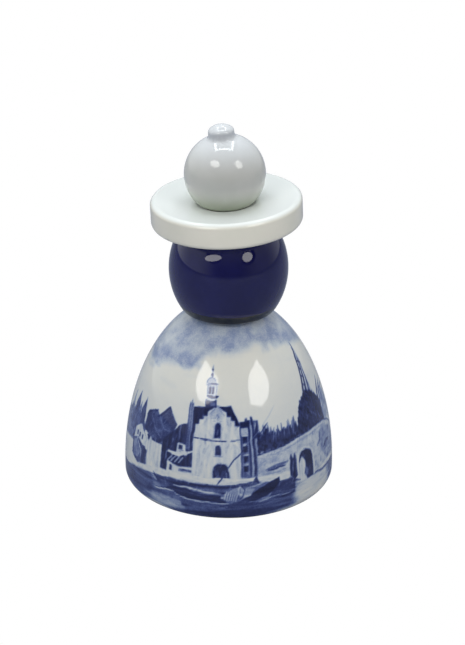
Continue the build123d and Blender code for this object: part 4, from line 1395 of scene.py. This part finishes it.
def make_materials():
    """One material for each of the record's slots."""
    return {
        "painted_porcelain": painted_glaze(),
        # the head: both colours are painted lighter than the glaze, in place of the softbox light kept
        # from it, and a near black painted shade and dark reflection runs along its bottom above the
        # shaded top of the dome
        "cobalt_glaze": glaze("cobalt_glaze", colour(33, 34, 96), colour(24, 25, 78),
                              foot=(colour(3, 3, 12), HEAD_FLOOR + 4.0, HEAD_FLOOR + 5.2)),
        # the disc: its level top is painted lighter and cooler, a painted highlight for the light from
        # above
        "white_glaze": glaze("white_glaze", colour(220, 217, 205), colour(212, 211, 198),
                             top=colour(222, 226, 224)),
        # the ball and knob: colours painted lighter than the glaze, in place of the softbox light kept
        # from them; a lighter, cooler top as a painted highlight from the bright room above, and a
        # darker greenish bottom as painted shade where the ball sits down on the disc
        "grey_glaze": glaze("grey_glaze", colour(211, 210, 204), colour(203, 205, 197),
                            crest=(colour(216, 219, 222), ball_low.z + 16, ball_low.z + 29),
                            foot=(colour(176, 184, 164), ball_low.z + 0.5, ball_low.z + 11)),
        "soft_rubber": soft_plastic("soft_rubber", colour(36, 36, 38), colour(52, 50, 48), 0.68),
        "silicone": soft_plastic("silicone", colour(220, 220, 216), colour(206, 208, 204), 0.5, 0.6,
                                 0.3),
        "nylon": soft_plastic("nylon", colour(232, 228, 214), colour(220, 214, 196), 0.42, 0.4, 0.2),
        "zinc_steel": turned_metal("zinc_steel", colour(196, 200, 206), colour(174, 178, 180), 0.34),
        "brass": turned_metal("brass", colour(214, 176, 104), colour(178, 138, 72), 0.3),
        "beech": oiled_beech(),
    }


def dress(piece, *materials):
    """Gives a piece its materials in place of the ones it had."""
    piece.data.materials.clear()
    for material in materials:
        piece.data.materials.append(material)


# ---- studio --------------------------------------------------------------------------
# Directions are azimuth (0 at the camera's side, positive to the right) and elevation, in degrees.

CAMERA_PLACE = (1.65 * MM, -870.5 * MM, 478.1 * MM)
CAMERA_DOWN = 25.06
CAMERA_LENS = 126.55
WARM_WHITE = (1, 0.985, 0.95, 1)
COOL_WHITE = (0.92, 0.965, 1, 1)
PAPER_WHITE = (1, 1, 1, 1)

# two shaped softboxes, one each side of the camera, by the directions of their corners
SOFTBOX_MIDDLE = Vector((0, 0, 0.06))
SOFTBOX_DISTANCE = 1.2
SOFTBOX_STRENGTH = 6.5
SOFTBOXES = {
    "left": [(-46, 44), (-49, 36), (-50, 28), (-46, 22), (-39, 18), (-29, 17), (-19, 20), (-15, 26),
             (-15, 34), (-28, 40)],
    "right": [(56, 42), (33, 35), (28, 27), (28, 17), (42, 13.5), (52, 16), (60, 22), (60, 31)],
}

# oval lights for the round pieces: azimuth, elevation, width, height and roll, all in degrees
OVAL_DISTANCE = 1.0
HEAD_OVALS = {"left": (-33, 24, 33, 10, 14), "right": (41, 24, 21, 14, 0)}
HEAD_OVAL_STRENGTH = 4.6
CROWN_OVALS = {"left": (-38, 43.5, 27, 19, 0), "right": (51, 38, 20, 22, 0)}
CROWN_OVAL_STRENGTH = 6.0

# a square of tubes round a faint diffuser, above and a little behind the bell
OVERHEAD_MIDDLE = Vector((-0.04, 0.45, 1.16))
OVERHEAD_HALF_WIDTH = 0.38
OVERHEAD_HALF_DEPTH = 0.44
TUBE_WIDTH = 0.085
TUBE_STRENGTH = 10.0
DIFFUSER_STRENGTH = 0.9

# brightness of the room that the glaze reflects
ROOM_SHADE = (0.93, 0.97, 1.0, 1)
ROOM_FRONT = 0.08
ROOM_BACK = 0.58
ROOM_TOP = 0.34
ROOM_LEFT = 0.55
ROOM_RIGHT = 0.20

FLOOR_SHADE = (0.25, 0.27, 0.33, 1)
FLOOR_REACH = 2.2
FLOOR_OPENING = 38 * MM
FLOOR_SIDES = 64
FLOOR_DROP = 0.02 * MM


def towards(azimuth, elevation, distance, middle):
    """The place that lies in a direction from a middle."""
    a, e = math.radians(azimuth), math.radians(elevation)
    way = Vector((math.sin(a) * math.cos(e), -math.cos(a) * math.cos(e), math.sin(e)))
    return middle + way * distance


def place_in_studio(name, data):
    """Adds an object that belongs to the studio and not to the bell."""
    piece = bpy.data.objects.new(name, data)
    bpy.context.scene.collection.objects.link(piece)
    return piece


def panel(name, corners, faces, strength, shade):
    """A glowing panel that the camera doesn't see, except in reflections."""
    material = bpy.data.materials.new(name)
    nodes = Nodes(material)
    nodes.tree.nodes.clear()
    glow = nodes.add("ShaderNodeEmission", shade, strength).outputs[0]
    nodes.add("ShaderNodeOutputMaterial", glow)
    mesh = bpy.data.meshes.new(name)
    mesh.from_pydata(corners, [], faces)
    mesh.materials.append(material)
    piece = place_in_studio(name, mesh)
    piece.visible_camera = False
    return piece


def light_linked(name, pieces, state):
    """A collection that limits a light to some pieces, or to all the others."""
    limited = bpy.data.collections.new(name)
    for piece in pieces:
        limited.objects.link(piece)
    for entry in limited.collection_objects:
        entry.light_linking.link_state = state
    return limited


def make_softboxes(round_pieces):
    """The two softboxes, which leave out the round pieces: those have oval lights of their own."""
    others = light_linked("softboxes_leave_out", round_pieces, "EXCLUDE")
    for side, outline in SOFTBOXES.items():
        corners = [towards(*way, SOFTBOX_DISTANCE, SOFTBOX_MIDDLE) for way in outline]
        faces = [tuple(range(len(corners)))]
        softbox = panel(f"softbox_{side}", corners, faces, SOFTBOX_STRENGTH, WARM_WHITE)
        softbox.light_linking.receiver_collection = others


def make_ovals(group, pieces, middle, ovals, strength):
    """Soft oval lights for some round pieces, in sizes as seen from their middle."""
    limited = light_linked(f"{group}_lights", pieces, "INCLUDE")
    for side, (azimuth, elevation, width, height, roll) in ovals.items():
        data = bpy.data.lights.new(f"{group}_light_{side}", "AREA")
        data.shape = "ELLIPSE"
        data.size = 2 * OVAL_DISTANCE * math.tan(math.radians(width / 2))
        data.size_y = 2 * OVAL_DISTANCE * math.tan(math.radians(height / 2))
        # an area light's power is its radiance times pi times its area
        data.energy = strength * math.pi * math.pi / 4 * data.size * data.size_y
        data.color = WARM_WHITE[:3]
        light = place_in_studio(data.name, data)
        light.location = towards(azimuth, elevation, OVAL_DISTANCE, middle)
        light.rotation_euler = (light.location - middle).to_track_quat("Z", "Y").to_euler()
        light.rotation_euler.rotate_axis("Z", math.radians(roll))
        light.light_linking.receiver_collection = limited


def make_overhead():
    """The square of tubes and the diffuser inside it."""
    outer = [(x * OVERHEAD_HALF_WIDTH, y * OVERHEAD_HALF_DEPTH)
             for x, y in ((-1, -1), (1, -1), (1, 1), (-1, 1))]
    inner = [(x * (1 - TUBE_WIDTH / OVERHEAD_HALF_WIDTH), y * (1 - TUBE_WIDTH / OVERHEAD_HALF_DEPTH))
             for x, y in outer]
    corners = [OVERHEAD_MIDDLE + Vector((x, y, 0)) for x, y in outer + inner]
    tubes = [(k, (k + 1) % 4, 4 + (k + 1) % 4, 4 + k) for k in range(4)]
    panel("overhead_tubes", corners, tubes, TUBE_STRENGTH, COOL_WHITE)
    panel("overhead_diffuser", corners[4:], [(0, 1, 2, 3)], DIFFUSER_STRENGTH, COOL_WHITE)


def make_world():
    """White to the camera; to reflections a dim room, brighter behind the bell, above and aside."""
    world = bpy.data.worlds.new("studio")
    bpy.context.scene.world = world
    nodes = Nodes(world)
    nodes.tree.nodes.clear()
    way = nodes.add("ShaderNodeTexCoord").outputs["Generated"]
    right, back, up = (nodes.component(way, axis) for axis in "XYZ")
    total = nodes.spread(back, -0.2, 0.7, ROOM_FRONT, ROOM_BACK)
    for share in (
        nodes.spread(up, 0.1, 0.95, 0.0, ROOM_TOP),
        nodes.spread(right, -0.95, -0.35, ROOM_LEFT, 0.0),
        nodes.spread(right, 0.35, 0.95, 0.0, ROOM_RIGHT),
    ):
        total = nodes.math("ADD", total, share)
    room = nodes.add("ShaderNodeBackground", ROOM_SHADE, total).outputs[0]
    paper = nodes.add("ShaderNodeBackground", PAPER_WHITE).outputs[0]
    nodes.add("ShaderNodeOutputWorld", nodes.mix_shaders(nodes.is_camera_ray(), room, paper))


def make_floor():
    """A pale floor that the camera sees as white paper, and sees through from below.

    It is open under the bell's mouth, so that some light reaches the clapper.
    """
    corners = [(radius * math.cos(angle), radius * math.sin(angle), 0)
               for radius in (FLOOR_OPENING, FLOOR_REACH)
               for angle in np.linspace(0, math.tau, FLOOR_SIDES, endpoint=False)]
    faces = [(k, FLOOR_SIDES + k, FLOOR_SIDES + (k + 1) % FLOOR_SIDES, (k + 1) % FLOOR_SIDES)
             for k in range(FLOOR_SIDES)]
    mesh = bpy.data.meshes.new("floor")
    mesh.from_pydata(corners, [], faces)
    material = bpy.data.materials.new("floor")
    nodes = Nodes(material)
    nodes.tree.nodes.clear()
    cloth = nodes.add("ShaderNodeBsdfDiffuse", FLOOR_SHADE).outputs[0]
    paper = nodes.add("ShaderNodeEmission", PAPER_WHITE).outputs[0]
    clear = nodes.add("ShaderNodeBsdfTransparent").outputs[0]
    above = nodes.mix_shaders(nodes.is_camera_ray(), cloth, paper)
    from_below = nodes.add("ShaderNodeNewGeometry").outputs["Backfacing"]
    nodes.add("ShaderNodeOutputMaterial", nodes.mix_shaders(from_below, above, clear))
    mesh.materials.append(material)
    floor = place_in_studio("floor", mesh)
    floor.location.z = -FLOOR_DROP


def make_camera():
    """The camera, in front and above, looking down at the bell."""
    data = bpy.data.cameras.new("camera")
    data.lens = CAMERA_LENS
    data.sensor_width = 36
    data.clip_start = 0.01
    camera = bpy.data.objects.new("camera", data)
    camera.location = CAMERA_PLACE
    camera.rotation_euler = (math.radians(90 - CAMERA_DOWN), 0, 0)
    bpy.context.scene.collection.objects.link(camera)
    bpy.context.scene.camera = camera


# ---- build ---------------------------------------------------------------------------

materials = make_materials()
paint_all()

GLAZED_AND_WOODEN = (
    (make_body, "bell_body", "bell", "painted_porcelain"),
    (make_head, "head_barrel", "head", "cobalt_glaze"),
    (make_disc, "hat_brim", "brim", "white_glaze"),
    (make_ball, "hat_crown", "crown", "grey_glaze"),
    (make_knob, "top_knob", "crown", "grey_glaze"),
    (make_clapper, "clapper_ball", "clapper", "beech"),
)
made = {}
for make, node, body, slot in GLAZED_AND_WOODEN:
    piece = make()
    made[node] = piece
    dress(piece, materials[slot])
    if node == "bell_body":
        dress(piece, materials[slot], materials["white_glaze"], bare_porcelain())
    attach(piece, body)
    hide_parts(node)

for subpart in frame["record"]["subparts"]:
    if subpart["node"] not in made:
        dress(frame["nodes"][subpart["node"]], materials[subpart["material_slot"]])

head, crown = [made["head_barrel"]], [made["hat_crown"], made["top_knob"]]
head_middle = Vector((0, 0, HEAD_FLOOR + HEAD_WIDEST)) * MM
crown_middle = (DISC_FRAME @ Vector((0, 0, BALL_CENTRE))) * MM
make_softboxes(head + crown)
make_ovals("head", head, head_middle, HEAD_OVALS, HEAD_OVAL_STRENGTH)
make_ovals("crown", crown, crown_middle, CROWN_OVALS, CROWN_OVAL_STRENGTH)
make_overhead()
make_world()
make_floor()
make_camera()
bpy.context.scene.view_settings.view_transform = "Standard"
